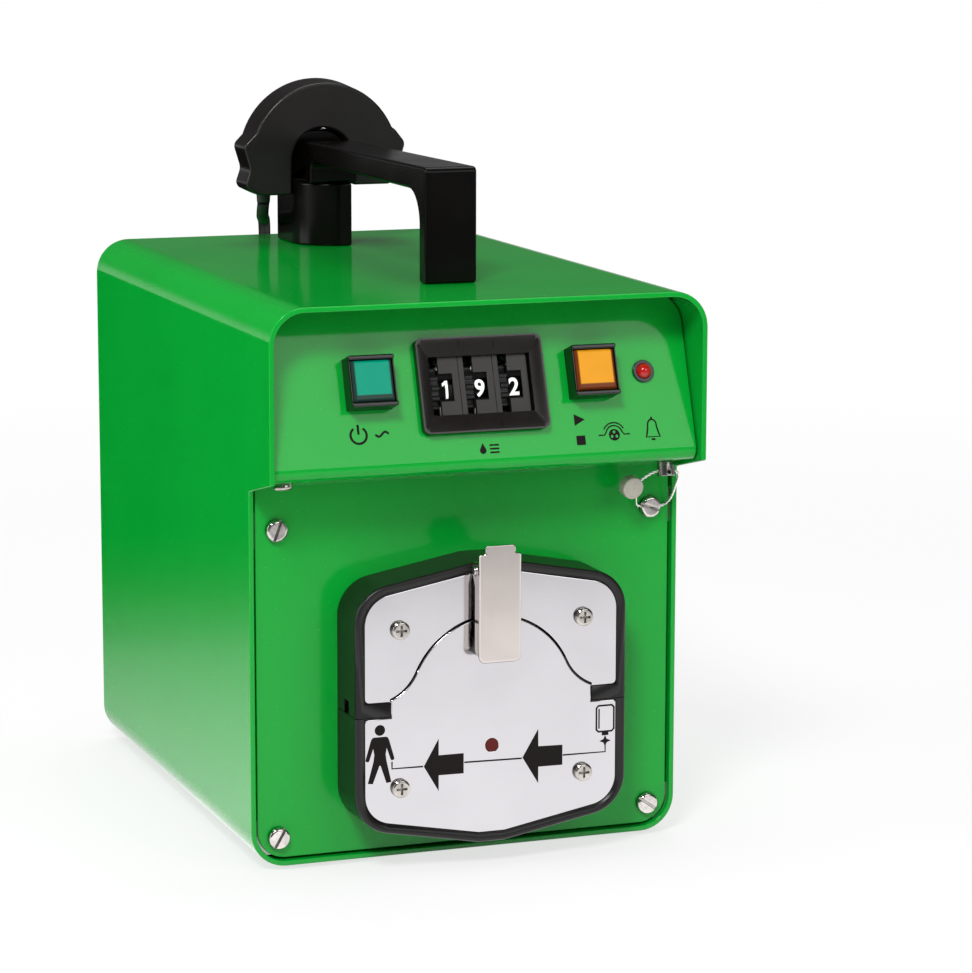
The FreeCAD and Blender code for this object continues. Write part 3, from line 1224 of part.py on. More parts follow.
# --- Sealing wire and disc -------------------------------------------------------------------------------------------------
disc_middle = vec(72.7, 20.0, 161.4)
disc_normal = vec(0.10, -0.975, -0.19).normalize()
disc_radius = 5.0
disc_thick = 5.0
wire_hole_y = plate_face - seal_wire_height
screw_left = corner_screw_x - slotted_head_radius
screw_right = corner_screw_x + slotted_head_radius
wire_points = [disc_middle + vec(1.6, 0, 1.2), vec(78.8, seal_hole.y + 0.5, seal_hole.z - 2.4),
               vec(83.2, seal_hole.y, seal_hole.z), vec(92.6, seal_hole.y, seal_hole.z),
               vec(95.5, seal_hole.y + 1.6, seal_hole.z - 2.6), vec(96.0, seal_hole.y + 5.0, seal_hole.z - 6.0),
               vec(95.8, seal_hole.y + 10.2, corner_screw_high + 4.8), vec(94.9, wire_hole_y - 0.7,
                                                                        corner_screw_high + 1.2),
               vec(screw_right + 0.4, wire_hole_y, corner_screw_high),
               vec(screw_left - 0.2, wire_hole_y, corner_screw_high),
               vec(screw_left - 3.0, wire_hole_y - 2.0, corner_screw_high + 1.8),
               vec(screw_left - 5.0, wire_hole_y - 7.4, corner_screw_high + 5.8),
               disc_middle + vec(2.0, 1.2, -1.8)]
seal_wire = cord_tube("seal_wire", wire_points, seal_wire_radius)
export("seal_wire", seal_wire)
seal_disc = rod(disc_middle - disc_normal * (disc_thick / 2), disc_normal, disc_thick, disc_radius)
export("seal_disc", seal_disc.cut(seal_wire))
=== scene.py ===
"""Bench-top infusion pump: finishes, printed marks, sensor cable, lights and camera.

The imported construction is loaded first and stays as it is. Each sub-assembly below dresses its own
pieces, replaces the ones that need a finer surface, and adds marks, numerals, cable and wire.
Sizes are in millimetres on the pump's own axes: x to the right, y back from the hood's front edge,
z up from the underside of the case. at() turns such a place into the frame's metres. Depths of
relief in the finishes, the lamps and the camera are in metres.
"""
import json
import logging
import math
from dataclasses import dataclass
from enum import Enum
from functools import lru_cache
from typing import Iterable, Sequence, Union

import bmesh
import bpy
from mathutils import Matrix, Quaternion, Vector


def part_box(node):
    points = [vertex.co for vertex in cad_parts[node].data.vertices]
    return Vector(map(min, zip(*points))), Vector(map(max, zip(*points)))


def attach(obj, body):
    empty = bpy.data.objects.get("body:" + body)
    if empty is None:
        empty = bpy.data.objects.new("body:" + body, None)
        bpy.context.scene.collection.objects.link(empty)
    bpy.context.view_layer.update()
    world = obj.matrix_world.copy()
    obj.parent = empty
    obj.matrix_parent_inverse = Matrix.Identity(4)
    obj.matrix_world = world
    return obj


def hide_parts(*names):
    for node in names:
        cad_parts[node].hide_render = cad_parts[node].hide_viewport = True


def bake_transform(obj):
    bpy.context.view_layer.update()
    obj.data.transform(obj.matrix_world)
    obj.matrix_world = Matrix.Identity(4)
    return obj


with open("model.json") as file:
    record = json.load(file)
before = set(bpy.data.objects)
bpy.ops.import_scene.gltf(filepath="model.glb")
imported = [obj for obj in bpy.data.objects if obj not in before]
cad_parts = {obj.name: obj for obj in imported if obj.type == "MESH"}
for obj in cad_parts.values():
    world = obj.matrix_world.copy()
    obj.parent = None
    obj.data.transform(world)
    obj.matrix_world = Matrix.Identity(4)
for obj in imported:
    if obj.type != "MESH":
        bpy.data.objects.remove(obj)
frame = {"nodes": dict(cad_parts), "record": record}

log = logging.getLogger("infusion_pump")

MM = 0.001
CASE_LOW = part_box("case_wrap")[0]
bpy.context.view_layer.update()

RGB = tuple[float, float, float]
Pair = tuple[float, float]
Outline = Sequence[Pair]
Number = Union[float, "Signal"]


def at(x: float, y: float, z: float) -> Vector:
    """A place on the pump's own axes in millimetres, as a point of the frame in metres."""
    return Vector((x * MM, CASE_LOW.y + y * MM, CASE_LOW.z + z * MM))


def colour(value: RGB) -> tuple[float, float, float, float]:
    """An opaque colour for a node socket."""
    return (*value, 1.0)


def grey(level: float) -> RGB:
    """A neutral colour of one level."""
    return (level, level, level)


def shade(tone: RGB, share: float, more: float = 0.0) -> RGB:
    """A tone made darker or lighter: a share of each level, and some more."""
    return tuple(level * share + more for level in tone)


# --- Shader building ----------------------------------------------------------------------------
class Signal:
    """A node's output that takes Python's arithmetic, each operation adding its Math node."""

    def __init__(self, recipe: "Recipe", socket: bpy.types.NodeSocket) -> None:
        """Wraps one output socket of a recipe's node tree."""
        self.recipe = recipe
        self.socket = socket

    def maths(self, operation: str, *values: Number) -> "Signal":
        """Adds a Math node.

        Args:
            operation: the Math node's operation.
            values: its inputs in order, numbers or signals.

        Returns:
            The node's result.
        """
        return self.recipe.node("ShaderNodeMath", {"operation": operation}, dict(enumerate(values)))

    def __add__(self, other: Number) -> "Signal":
        """Sum."""
        return self.maths("ADD", self, other)

    def __mul__(self, other: Number) -> "Signal":
        """Product."""
        return self.maths("MULTIPLY", self, other)

    def __sub__(self, other: Number) -> "Signal":
        """Difference."""
        return self.maths("SUBTRACT", self, other)

    def __rsub__(self, other: Number) -> "Signal":
        """Difference with the number first."""
        return self.maths("SUBTRACT", other, self)

    def __truediv__(self, other: Number) -> "Signal":
        """Quotient."""
        return self.maths("DIVIDE", self, other)

    def between(self, low: float, high: float) -> "Signal":
        """A smooth rise over a range of this value.

        Args:
            low: where it is 0, and below.
            high: where it is 1, and above.

        Returns:
            The rise, from 0 to 1.
        """
        return self.recipe.node("ShaderNodeMapRange", {"interpolation_type": "SMOOTHSTEP"},
                                {"Value": self, "From Min": low, "From Max": high,
                                 "To Min": 0.0, "To Max": 1.0})

    def spread(self, low: float, high: float) -> "Signal":
        """Carries a signal of 0 to 1 onto low to high."""
        return self * (high - low) + low

    def larger(self, other: Number) -> "Signal":
        """The larger of two values."""
        return self.maths("MAXIMUM", self, other)

    def unsigned(self) -> "Signal":
        """The value without its sign."""
        return self.maths("ABSOLUTE", self)


class Recipe:
    """The node tree of one material, world or floor."""

    def __init__(self, tree: bpy.types.NodeTree) -> None:
        """Empties the tree, so that only this recipe's nodes are in it."""
        self.tree = tree
        self.tree.nodes.clear()

    @staticmethod
    def socket_of(sockets: bpy.types.bpy_prop_collection, key: str | int
                  ) -> bpy.types.NodeSocket:
        """Finds one of a node's sockets.

        Args:
            sockets: the node's inputs or outputs.
            key: the socket's number, identifier or name.

        Returns:
            The socket.
        """
        if isinstance(key, int):
            return sockets[key]
        for socket in sockets:
            if socket.identifier == key:
                return socket
        return sockets[key]

    def node(self, kind: str, settings: dict | None = None, inputs: dict | None = None,
             output: str | int = 0) -> Signal:
        """Adds any node.

        Args:
            kind: the node's type name.
            settings: properties to set first; "stops" fills a colour ramp.
            inputs: values or signals by socket.
            output: which output the result stands for.

        Returns:
            That output.
        """
        made = self.tree.nodes.new(kind)
        for key, value in (settings or {}).items():
            if key == "stops":
                self.fill_ramp(made.color_ramp, value)
            else:
                setattr(made, key, value)
        for key, value in (inputs or {}).items():
            socket = self.socket_of(made.inputs, key)
            if isinstance(value, Signal):
                self.tree.links.new(value.socket, socket)
            else:
                socket.default_value = value
        outlet = self.socket_of(made.outputs, output) if len(made.outputs) else None
        return Signal(self, outlet)

    @staticmethod
    def fill_ramp(ramp: bpy.types.ColorRamp, stops: Sequence[tuple[float, RGB]]) -> None:
        """Sets a colour ramp's stops.

        Args:
            ramp: the ramp of a node.
            stops: each stop's place from 0 to 1 and its colour.
        """
        while len(ramp.elements) < len(stops):
            ramp.elements.new(1.0)
        for element, (position, value) in zip(ramp.elements, stops):
            element.position = position
            element.color = colour(value)

    def place(self, scale: RGB = (1, 1, 1), turn: RGB = (0, 0, 0)) -> Signal:
        """Object coordinates in metres, for a pattern.

        Args:
            scale: how much finer the pattern gets along each axis.
            turn: rotation about each axis, in radians.

        Returns:
            The coordinates.
        """
        coordinates = self.node("ShaderNodeTexCoord", output="Object")
        return self.node("ShaderNodeMapping", {"vector_type": "POINT"},
                         {"Vector": coordinates, "Scale": scale, "Rotation": turn})

    def along(self, axis: str, where: Signal | None = None) -> Signal:
        """One coordinate, X, Y or Z, of a place."""
        return self.node("ShaderNodeSeparateXYZ", None, {"Vector": where or self.place()}, axis)

    def rays(self) -> tuple[Signal, Signal, Signal]:
        """Whether a ray comes from the camera, from a mirror, or through something clear."""
        return tuple(self.node("ShaderNodeLightPath", output=f"Is {kind} Ray")
                     for kind in ("Camera", "Glossy", "Transmission"))

    def noise(self, scale: float, detail: float = 2.0, rough: float = 0.5,
              where: Signal | None = None) -> Signal:
        """Cloudy noise.

        Args:
            scale: clouds to a metre, more or less.
            detail: how many finer layers lie over them.
            rough: how strong each finer layer is.
            where: the coordinates, or None for the object's own.

        Returns:
            The noise, from 0 to 1.
        """
        return self.node("ShaderNodeTexNoise", {"noise_dimensions": "3D"},
                         {"Vector": where or self.place(), "Scale": scale, "Detail": detail,
                          "Roughness": rough})

    def cells(self, scale: float) -> Signal:
        """Distance to the nearest of many scattered points."""
        return self.node("ShaderNodeTexVoronoi", {"feature": "F1"},
                         {"Vector": self.place(), "Scale": scale})

    def blend(self, factor: Number, first: RGB | Signal, second: RGB | Signal) -> Signal:
        """Mixes two colours.

        Args:
            factor: 0 for the first, 1 for the second.
            first: a colour or a signal.
            second: a colour or a signal.

        Returns:
            The mixed colour.
        """
        first, second = (value if isinstance(value, Signal) else colour(value)
                         for value in (first, second))
        return self.node("ShaderNodeMix", {"data_type": "RGBA"},
                         {"Factor_Float": factor, "A_Color": first, "B_Color": second},
                         "Result_Color")

    def bump(self, height: Signal, depth: float, under: Signal | None = None) -> Signal:
        """Surface normal of a relief.

        Args:
            height: the relief, from 0 to 1.
            depth: how tall it is at 1, in metres.
            under: a normal that it lies on.

        Returns:
            The normal.
        """
        inputs = {"Height": height, "Distance": depth, "Strength": 1.0}
        if under is not None:
            inputs["Normal"] = under
        return self.node("ShaderNodeBump", None, inputs)

    def surface(self, **sockets: object) -> None:
        """Ends the recipe in a Principled BSDF; underscores in the names stand for spaces."""
        named = {key.replace("_", " "): value for key, value in sockets.items()}
        self.end(self.node("ShaderNodeBsdfPrincipled", None, named))

    def end(self, shader: Signal) -> None:
        """Links a shader to the output.

        Args:
            shader: the shader of a material or a world.
        """
        kind = "ShaderNodeOutputWorld" if isinstance(self.tree.id_data, bpy.types.World) \
            else "ShaderNodeOutputMaterial"
        self.node(kind, None, {"Surface": shader})


# --- Finishes -----------------------------------------------------------------------------------
@dataclass(frozen=True)
class Finish:
    """One finish; a subclass writes its recipe."""

    title: str
    slot: str

    def mix(self, recipe: Recipe) -> None:
        """Writes the finish into an empty recipe."""
        raise NotImplementedError


@lru_cache(maxsize=None)
def material_of(finish: Finish) -> bpy.types.Material:
    """The material of a finish, built once.

    Args:
        finish: the finish.

    Returns:
        Its material.
    """
    material = bpy.data.materials.new(finish.title)
    material.use_nodes = True
    finish.mix(Recipe(material.node_tree))
    return material


@dataclass(frozen=True)
class Enamel(Finish):
    """Stoved gloss enamel on sheet steel, with faint orange peel and a little dust."""

    tone: RGB = (0.0012, 0.335, 0.030)
    gloss: float = 0.09
    peel: float = 0.000004
    wave: float = 0.00012
    dust: RGB = (0.35, 0.62, 0.36)

    def mix(self, recipe: Recipe) -> None:
        """Slow waves of the sheet under fine peel; cloudy changes of tone; sparse specks.

        Args:
            recipe: the empty recipe.
        """
        waves = recipe.bump(recipe.noise(9.0, 1.0), self.wave)
        peel = recipe.bump(recipe.noise(420.0, 2.0, 0.4), self.peel, waves)
        cloud = recipe.noise(16.0, 3.0)
        tone = recipe.blend(cloud, shade(self.tone, 0.93), shade(self.tone, 1.05, 0.002))
        specks = 1.0 - recipe.cells(260.0).between(0.035, 0.06)
        tone = recipe.blend(specks * 0.18, tone, self.dust)
        gloss = cloud.spread(self.gloss - 0.02, self.gloss + 0.03) + specks * 0.3
        recipe.surface(Base_Color=tone, Roughness=gloss, IOR=1.5, Specular_IOR_Level=0.3,
                       Normal=peel)


@dataclass(frozen=True)
class Moulding(Finish):
    """Moulded plastic with a fine grained skin and handling marks."""

    tone: RGB = (0.006, 0.0052, 0.005)
    gloss: float = 0.36
    grain: float = 0.000012
    grain_scale: float = 900.0
    specular: float = 0.5
    worn: float = 0.15

    def mix(self, recipe: Recipe) -> None:
        """Grain, patches rubbed smoother, and a tone that follows them.

        Args:
            recipe: the empty recipe.
        """
        grain = recipe.bump(recipe.noise(self.grain_scale, 3.0, 0.55), self.grain)
        rubbed = recipe.noise(26.0, 3.0, 0.5).between(0.2, 0.85)
        recipe.surface(Base_Color=recipe.blend(rubbed, self.tone, shade(self.tone, 1.3, 0.0015)),
                       Roughness=rubbed.spread(self.gloss, self.gloss + self.worn),
                       Specular_IOR_Level=self.specular, Normal=grain)


class Lay(Enum):
    """Direction of a brushed metal's lines."""

    ACROSS = (2.0, 60.0, 60.0)
    UPRIGHT = (60.0, 60.0, 2.0)
    NONE = (30.0, 30.0, 30.0)


@dataclass(frozen=True)
class SheetMetal(Finish):
    """Bare metal, brushed in one direction or plain, with faint blotches."""

    tone: RGB = (0.615, 0.60, 0.622)
    gloss: float = 0.24
    lay: Lay = Lay.ACROSS
    lines: float = 0.000002
    blotch: float = 0.03

    def mix(self, recipe: Recipe) -> None:
        """Fine drawn lines in the normal and the roughness, soft blotches in both.

        Args:
            recipe: the empty recipe.
        """
        strokes = recipe.noise(30.0, 4.0, 0.7, recipe.place(self.lay.value))
        blotches = recipe.noise(38.0, 3.0, 0.55)
        tone = self.blotched(recipe, blotches)
        gloss = strokes.spread(-0.03, 0.03) + blotches.spread(self.gloss - 0.03, self.gloss + 0.05)
        recipe.surface(Base_Color=tone, Metallic=1.0, Roughness=gloss,
                       Normal=recipe.bump(strokes, self.lines))

    def blotched(self, recipe: Recipe, blotches: Signal) -> Signal:
        """The metal's tone, a little duller where the blotches are."""
        return recipe.blend(blotches.between(0.3, 0.7), self.tone,
                            shade(self.tone, 1.0 - self.blotch))


@dataclass(frozen=True)
class SeatedMetal(SheetMetal):
    """Metal of screw heads on an upright plate, with painted shade in the recess and round the seat.
    """

    crest: float = 0.0
    seat: float = 0.001
    # Colour of the painted shade in the recess and round the seat.
    grime: RGB = (0.03, 0.027, 0.024)

    def mix(self, recipe: Recipe) -> None:
        """The bare metal, with painted shade darkening it from the crest of the head down to its
        seat.

        Args:
            recipe: the empty recipe.
        """
        # Painted shade: darker from the head's crest down into its recess and round its seat, fading
        # out just past the seat.
        share = (recipe.along("Y") - self.crest) / (self.seat - self.crest)
        grime = share.between(0.2, 0.8) * (1.0 - share.between(1.05, 1.1)) * 0.82
        blotches = recipe.noise(220.0, 3.0, 0.6)
        tone = self.blotched(recipe, blotches)
        recipe.surface(Base_Color=recipe.blend(grime, tone, self.grime), Metallic=1.0,
                       Roughness=blotches.spread(self.gloss - 0.05, self.gloss + 0.1) + grime * 0.2,
                       Normal=recipe.bump(blotches, self.lines))


@dataclass(frozen=True)
class Lens(Finish):
    """Tinted translucent cap with a painted glow: a little emission that stands in for light
    scattered inside it.
    """

    tone: RGB = (0.0, 0.27, 0.17)
    # Painted glow: emission that stands in for light scattered inside the cap.
    glow: RGB = (0.0, 0.03, 0.02)
    gloss: float = 0.16
    specular: float = 0.12

    def mix(self, recipe: Recipe) -> None:
        """A tone that clouds slightly, a faint skin, and a steady painted glow.

        Args:
            recipe: the empty recipe.
        """
        self.finished(recipe, self.tone, self.glow)

    def finished(self, recipe: Recipe, tone: RGB | Signal, glow: RGB | Signal) -> None:
        """Ends the recipe.

        Args:
            recipe: the recipe to end.
            tone: colour of the cap.
            glow: painted light from inside it, given as emission.
        """
        cloud = recipe.noise(70.0, 2.0)
        shade = cloud * 0.14
        recipe.surface(Base_Color=recipe.blend(shade, tone, grey(0.0)), IOR=1.49,
                       Roughness=cloud.spread(self.gloss, self.gloss + 0.06),
                       Specular_IOR_Level=self.specular,
                       # Painted glow: emission that stands in for light scattered inside the part.
                       Emission_Color=recipe.blend(shade, glow, grey(0.0)), Emission_Strength=1.0,
                       Normal=recipe.bump(recipe.noise(600.0), 0.000006))


@dataclass(frozen=True)
class RimmedLens(Lens):
    """Rectangular cap whose turned-down rim is painted darker than its middle, as painted shade,
    with none of the painted glow there.
    """

    # Colour of the painted shade on the cap's rim.
    rim: RGB = (0.02, 0.05, 0.04)
    centre: Pair = (0.0, 0.0)
    half: Pair = (0.009, 0.0099)
    lean: float = 0.0
    width: float = 0.0014

    def mix(self, recipe: Recipe) -> None:
        """The middle's tone, and the painted rim shade within its width of the outline.

        Args:
            recipe: the empty recipe.
        """
        panel = recipe.place(turn=(self.lean, 0, 0))
        reach = (recipe.along("X", panel) - self.centre[0]).unsigned() - self.half[0]
        climb = (recipe.along("Z", panel) - self.centre[1]).unsigned() - self.half[1]
        # Painted shade: the rim takes a darker copy of the cap's tone, and the painted glow is taken
        # off it.
        rim = reach.larger(climb).between(-self.width * 1.25, -self.width * 0.75)
        self.finished(recipe, recipe.blend(rim, self.tone, self.rim),
                      recipe.blend(rim, self.glow, grey(0.0)))


@dataclass(frozen=True)
class Rubber(Finish):
    """Soft dark rubber or cable sheath."""

    tone: RGB = (0.014, 0.014, 0.015)
    gloss: float = 0.5

    def mix(self, recipe: Recipe) -> None:
        """Fine pores and a dusty bloom.

        Args:
            recipe: the empty recipe.
        """
        pores = recipe.noise(1400.0, 2.0)
        bloom = recipe.noise(60.0, 3.0).between(0.4, 0.8)
        tone = recipe.blend(bloom, self.tone, shade(self.tone, 1.8, 0.004))
        recipe.surface(Base_Color=tone, Roughness=bloom.spread(self.gloss, self.gloss + 0.2),
                       Normal=recipe.bump(pores, 0.00001))


@dataclass(frozen=True)
class Ink(Finish):
    """Screen-printed ink, slightly uneven."""

    tone: RGB = (0.010, 0.008, 0.008)
    gloss: float = 0.5

    def mix(self, recipe: Recipe) -> None:
        """Uneven cover and a fine weave left by the screen.

        Args:
            recipe: the empty recipe.
        """
        cover = recipe.noise(900.0, 2.0)
        thin = shade(self.tone, 1.35, 0.002)
        recipe.surface(Base_Color=recipe.blend(cover, self.tone, thin), Specular_IOR_Level=0.06,
                       Roughness=cover.spread(self.gloss, self.gloss + 0.12),
                       Normal=recipe.bump(cover, 0.000004))


@dataclass(frozen=True)
class CastMetal(Finish):
    """Rough cast or pressed metal: alloy housings and the lead seal."""

    tone: RGB = (0.5, 0.5, 0.5)
    gloss: float = 0.5
    pits: float = 0.00006
    metal: float = 1.0
    hollows: float = 0.6

    def mix(self, recipe: Recipe) -> None:
        """Coarse skin, darker in its hollows.

        Args:
            recipe: the empty recipe.
        """
        skin = recipe.noise(520.0, 4.0, 0.6)
        hollow = shade(self.tone, self.hollows)
        recipe.surface(Base_Color=recipe.blend(skin.between(0.3, 0.6), hollow, self.tone),
                       Roughness=skin.spread(self.gloss - 0.08, self.gloss + 0.12),
                       Metallic=self.metal, Normal=recipe.bump(skin, self.pits))


@dataclass(frozen=True)
class Layered(Finish):
    """Stacked or wound stock: laminations and windings, seen as fine parallel lines."""

    tone: RGB = (0.16, 0.15, 0.15)
    line: RGB = (0.05, 0.045, 0.045)
    pitch: float = 0.0006
    metal: float = 0.6

    def mix(self, recipe: Recipe) -> None:
        """A band per layer with a dark line between, and varnish gloss.

        Args:
            recipe: the empty recipe.
        """
        bands = recipe.node("ShaderNodeTexWave", {"wave_type": "BANDS", "bands_direction": "Z"},
                            {"Vector": recipe.place(), "Scale": 0.314 / self.pitch,
                             "Distortion": 0.2}, "Fac")
        tone = recipe.blend(bands.between(0.1, 0.5), self.line, self.tone)
        recipe.surface(Base_Color=tone, Metallic=self.metal, Roughness=bands.spread(0.5, 0.3),
                       Normal=recipe.bump(bands, 0.00008))


@dataclass(frozen=True)
class CircuitBoard(Finish):
    """Solder-masked laminate with tracks under the mask."""

    tone: RGB = (0.02, 0.16, 0.06)

    def mix(self, recipe: Recipe) -> None:
        """Straight tracks in both directions, lighter and slightly raised.

        Args:
            recipe: the empty recipe.
        """
        tracks = recipe.node("ShaderNodeTexBrick", None,
                             {"Vector": recipe.place(), "Scale": 160.0, "Mortar Size": 0.06,
                              "Color1": colour(grey(0.0)), "Color2": colour(grey(0.0)),
                              "Mortar": colour(grey(1.0))}, "Fac")
        lighter = shade(self.tone, 1.8, 0.02)
        recipe.surface(Base_Color=recipe.blend(tracks, self.tone, lighter),
                       Roughness=tracks.spread(0.3, 0.4), Normal=recipe.bump(tracks, 0.00004))


GREEN = Enamel("green enamel", "green_paint")
PLATE_GREEN = Enamel("green plate enamel", "green_paint", gloss=0.13)
BLACK = Moulding("black moulding", "black_plastic")
HEAD_BLACK = Moulding("black head moulding", "black_plastic", gloss=0.3, worn=0.08, specular=0.34)
SENSOR_BLACK = Moulding("black grained moulding", "black_plastic", tone=(0.0055, 0.004, 0.004),
                        gloss=0.3, grain=0.000045, grain_scale=420.0, worn=0.1, specular=0.36)
HANDLE_BLACK = Moulding("black handle moulding", "black_gloss", tone=(0.0014, 0.0009, 0.0008),
                        gloss=0.17, grain=0.000006, worn=0.06, specular=0.14)
SWITCH_BLACK = Moulding("black switch moulding", "black_plastic", tone=(0.004, 0.0036, 0.0034),
                        gloss=0.2, grain=0.000004, worn=0.06)
BEZEL_BLACK = Moulding("black bezel moulding", "black_plastic", tone=(0.006, 0.0045, 0.0035),
                       gloss=0.2, grain=0.000008, worn=0.08)
PLATE_BLACK = Moulding("black plate moulding", "black_plastic", tone=(0.010, 0.008, 0.007),
                       gloss=0.36, grain=0.000008, worn=0.08)
DRUM_BLACK = Moulding("black drum moulding", "digit_plastic", tone=grey(0.004), gloss=0.3,
                      specular=0.4)
# Black ink for the strips of painted shade behind the windows, and for the real seams of the bezel.
SHADE_AND_SEAM_BLACK = Ink("black painted shade and seams", "black_plastic", tone=grey(0.003), gloss=0.6)
NUMERAL = Ink("white numeral ink", "digit_plastic", tone=(0.92, 0.92, 0.90), gloss=0.5)
PRINT = Ink("dark printing ink", "black_plastic")
FACE_STEEL = SheetMetal("satin face steel", "face_metal", gloss=0.12)
LEVER_STEEL = SheetMetal("satin lever steel", "face_metal", tone=(0.66, 0.60, 0.57), gloss=0.16,
                         lay=Lay.UPRIGHT, blotch=0.06)
DULL = SheetMetal("dull nickel", "plated_metal", tone=(0.46, 0.44, 0.42), gloss=0.22,
                  lay=Lay.NONE, lines=0.000004, blotch=0.3)
PLATED = SheetMetal("bright nickel", "plated_metal", tone=(0.78, 0.76, 0.73), gloss=0.17,
                    lay=Lay.NONE, lines=0.000004, blotch=0.2)
# Both screw finishes carry painted shade in their recesses and round their seats.
PLATE_SCREW = SeatedMetal("nickel plate screws", "plated_metal", tone=(0.74, 0.70, 0.67),
                          gloss=0.1, lay=Lay.NONE, blotch=0.3, crest=at(0, 31.2, 0).y,
                          seat=at(0, 34.0, 0).y)
FACE_SCREW = SeatedMetal("nickel face screws", "plated_metal", tone=(0.62, 0.58, 0.54),
                         gloss=0.16, lay=Lay.NONE, blotch=0.3, crest=at(0, 6.4, 0).y,
                         seat=at(0, 9.0, 0).y)
GROUND = SheetMetal("ground steel", "ground_steel", tone=(0.6, 0.6, 0.61), gloss=0.22,
                    lay=Lay.NONE)
ZINC = SheetMetal("zinc plate", "zinc_steel", tone=(0.6, 0.62, 0.6), gloss=0.38, lay=Lay.NONE,
                  blotch=0.2)
# Both carry a painted glow: emission that stands in for light scattered inside them.
AMBER = Lens("red lamp lens", "amber_lens", tone=(0.42, 0.008, 0.008), glow=(0.07, 0.0, 0.001),
             gloss=0.05, specular=0.6)
RED = Lens("red window", "red_lens", tone=(0.10, 0.006, 0.004), glow=(0.01, 0.001, 0.0005),
           gloss=0.06, specular=0.2)
RUBBER = Rubber("black rubber", "black_rubber")
TIE = Moulding("nylon tie", "tie_plastic", tone=grey(0.02), gloss=0.4)
LEAD = CastMetal("pressed lead", "lead", tone=(0.40, 0.375, 0.32), gloss=0.5, pits=0.00002,
                 metal=0.15, hollows=0.9)
WIRE = SheetMetal("tinned wire", "seal_wire", tone=(0.92, 0.90, 0.87), gloss=0.3, lay=Lay.NONE)
ALLOY = CastMetal("cast alloy", "cast_alloy", tone=grey(0.55))
CORE = Layered("varnished laminations", "core_iron")
WINDING = Layered("taped winding", "copper_winding", tone=(0.42, 0.18, 0.06),
                  line=(0.2, 0.08, 0.03), metal=0.2)
BATTERY = Moulding("battery case", "battery_case", tone=(0.08, 0.08, 0.09), gloss=0.45)
BOARD = CircuitBoard("circuit board", "board_green")
ACETAL = Moulding("machined acetal", "rotor_plastic", tone=(0.72, 0.71, 0.66), gloss=0.35,
                  worn=0.1)


# --- Pieces -------------------------------------------------------------------------------------
NODE_BODY = {node: body for body, nodes in frame["record"]["behaviour"]["bodies"].items()
             for node in nodes}
EDGE_ANGLE = math.radians(30)
SMOOTH_ANGLE = math.radians(48)
FLAT_ANGLE = math.radians(0.6)
# Points nearer than this are one, in metres: corners of the construction, points of a drawing,
# points on a cutting plane.
CORNER_GAP = 2e-6
DRAWING_GAP = 1e-7
CUT_GAP = 1e-8
# How much of its normal a face has to have along y to count as one that looks straight on.
STRAIGHT_ON = 0.98
SQUARE_ON = 0.99


def blank(name: str, form: bmesh.types.BMesh) -> bpy.types.Object:
    """Turns a bmesh into a linked object at the origin.

    Args:
        name: the object's name.
        form: the bmesh, which is freed.

    Returns:
        The object.
    """
    mesh = bpy.data.meshes.new(name)
    form.to_mesh(mesh)
    form.free()
    piece = bpy.data.objects.new(name, mesh)
    bpy.context.scene.collection.objects.link(piece)
    return piece


def joined(parts: Iterable[bmesh.types.BMesh]) -> bmesh.types.BMesh:
    """Puts several bmeshes into one.

    Args:
        parts: the bmeshes, which are freed.

    Returns:
        The one.
    """
    whole = bmesh.new()
    for form in parts:
        mesh = bpy.data.meshes.new("part")
        form.to_mesh(mesh)
        form.free()
        whole.from_mesh(mesh)
        bpy.data.meshes.remove(mesh)
    return whole


def smooth(piece: bpy.types.Object, weighted: bool = True) -> None:
    """Shades a piece smooth between its sharp edges.

    Args:
        piece: the piece.
        weighted: whether flat faces stay flat beside rounded edges.
    """
    piece.data.shade_smooth()
    piece.data.set_sharp_from_angle(angle=SMOOTH_ANGLE)
    if weighted:
        modifier = piece.modifiers.new("flat faces", "WEIGHTED_NORMAL")
        modifier.keep_sharp = True


def curve(name: str, lines: Iterable[Sequence[Vector]], closed: bool = False,
          flowing: bool = False) -> bpy.types.Curve:
    """A curve with one spline along each line of points.

    Args:
        name: the curve's name.
        lines: the lines, as points in metres.
        closed: whether each line ends where it starts.
        flowing: whether the splines are smooth NURBS or run straight from point to point.

    Returns:
        The curve.
    """
    drawing = bpy.data.curves.new(name, "CURVE")
    drawing.dimensions = "3D"
    for line in lines:
        spline = drawing.splines.new("NURBS" if flowing else "POLY")
        spline.points.add(len(line) - 1)
        for point, place in zip(spline.points, line):
            point.co = (*place, 1.0)
        spline.use_cyclic_u = closed
    return drawing


def flat(line: Outline) -> list[Vector]:
    """Points drawn in millimetres, as points of the drawing plane in metres."""
    return [Vector((x * MM, y * MM, 0.0)) for x, y in line]


def traced(drawing: bpy.types.Curve) -> bpy.types.Mesh:
    """Turns a curve or a text into a mesh.

    Args:
        drawing: the curve or the text.

    Returns:
        The mesh.
    """
    holder = bpy.data.objects.new(drawing.name, drawing)
    bpy.context.scene.collection.objects.link(holder)
    bpy.context.view_layer.update()
    depsgraph = bpy.context.evaluated_depsgraph_get()
    mesh = bpy.data.meshes.new_from_object(holder.evaluated_get(depsgraph))
    bpy.data.objects.remove(holder)
    return mesh


def formed(drawing: bpy.types.Curve, placement: Matrix | None = None) -> bmesh.types.BMesh:
    """What a curve or a text makes, closed up and put in its place.

    Args:
        drawing: the curve or the text.
        placement: where its drawing plane lies in the frame, or None to leave it.

    Returns:
        The bmesh, its faces turned outwards.
    """
    mesh = traced(drawing)
    form = bmesh.new()
    form.from_mesh(mesh)
    bpy.data.meshes.remove(mesh)
    bmesh.ops.remove_doubles(form, verts=form.verts[:], dist=DRAWING_GAP)
    if placement is not None:
        bmesh.ops.transform(form, matrix=placement, verts=form.verts[:])
    bmesh.ops.recalc_face_normals(form, faces=form.faces[:])
    return form


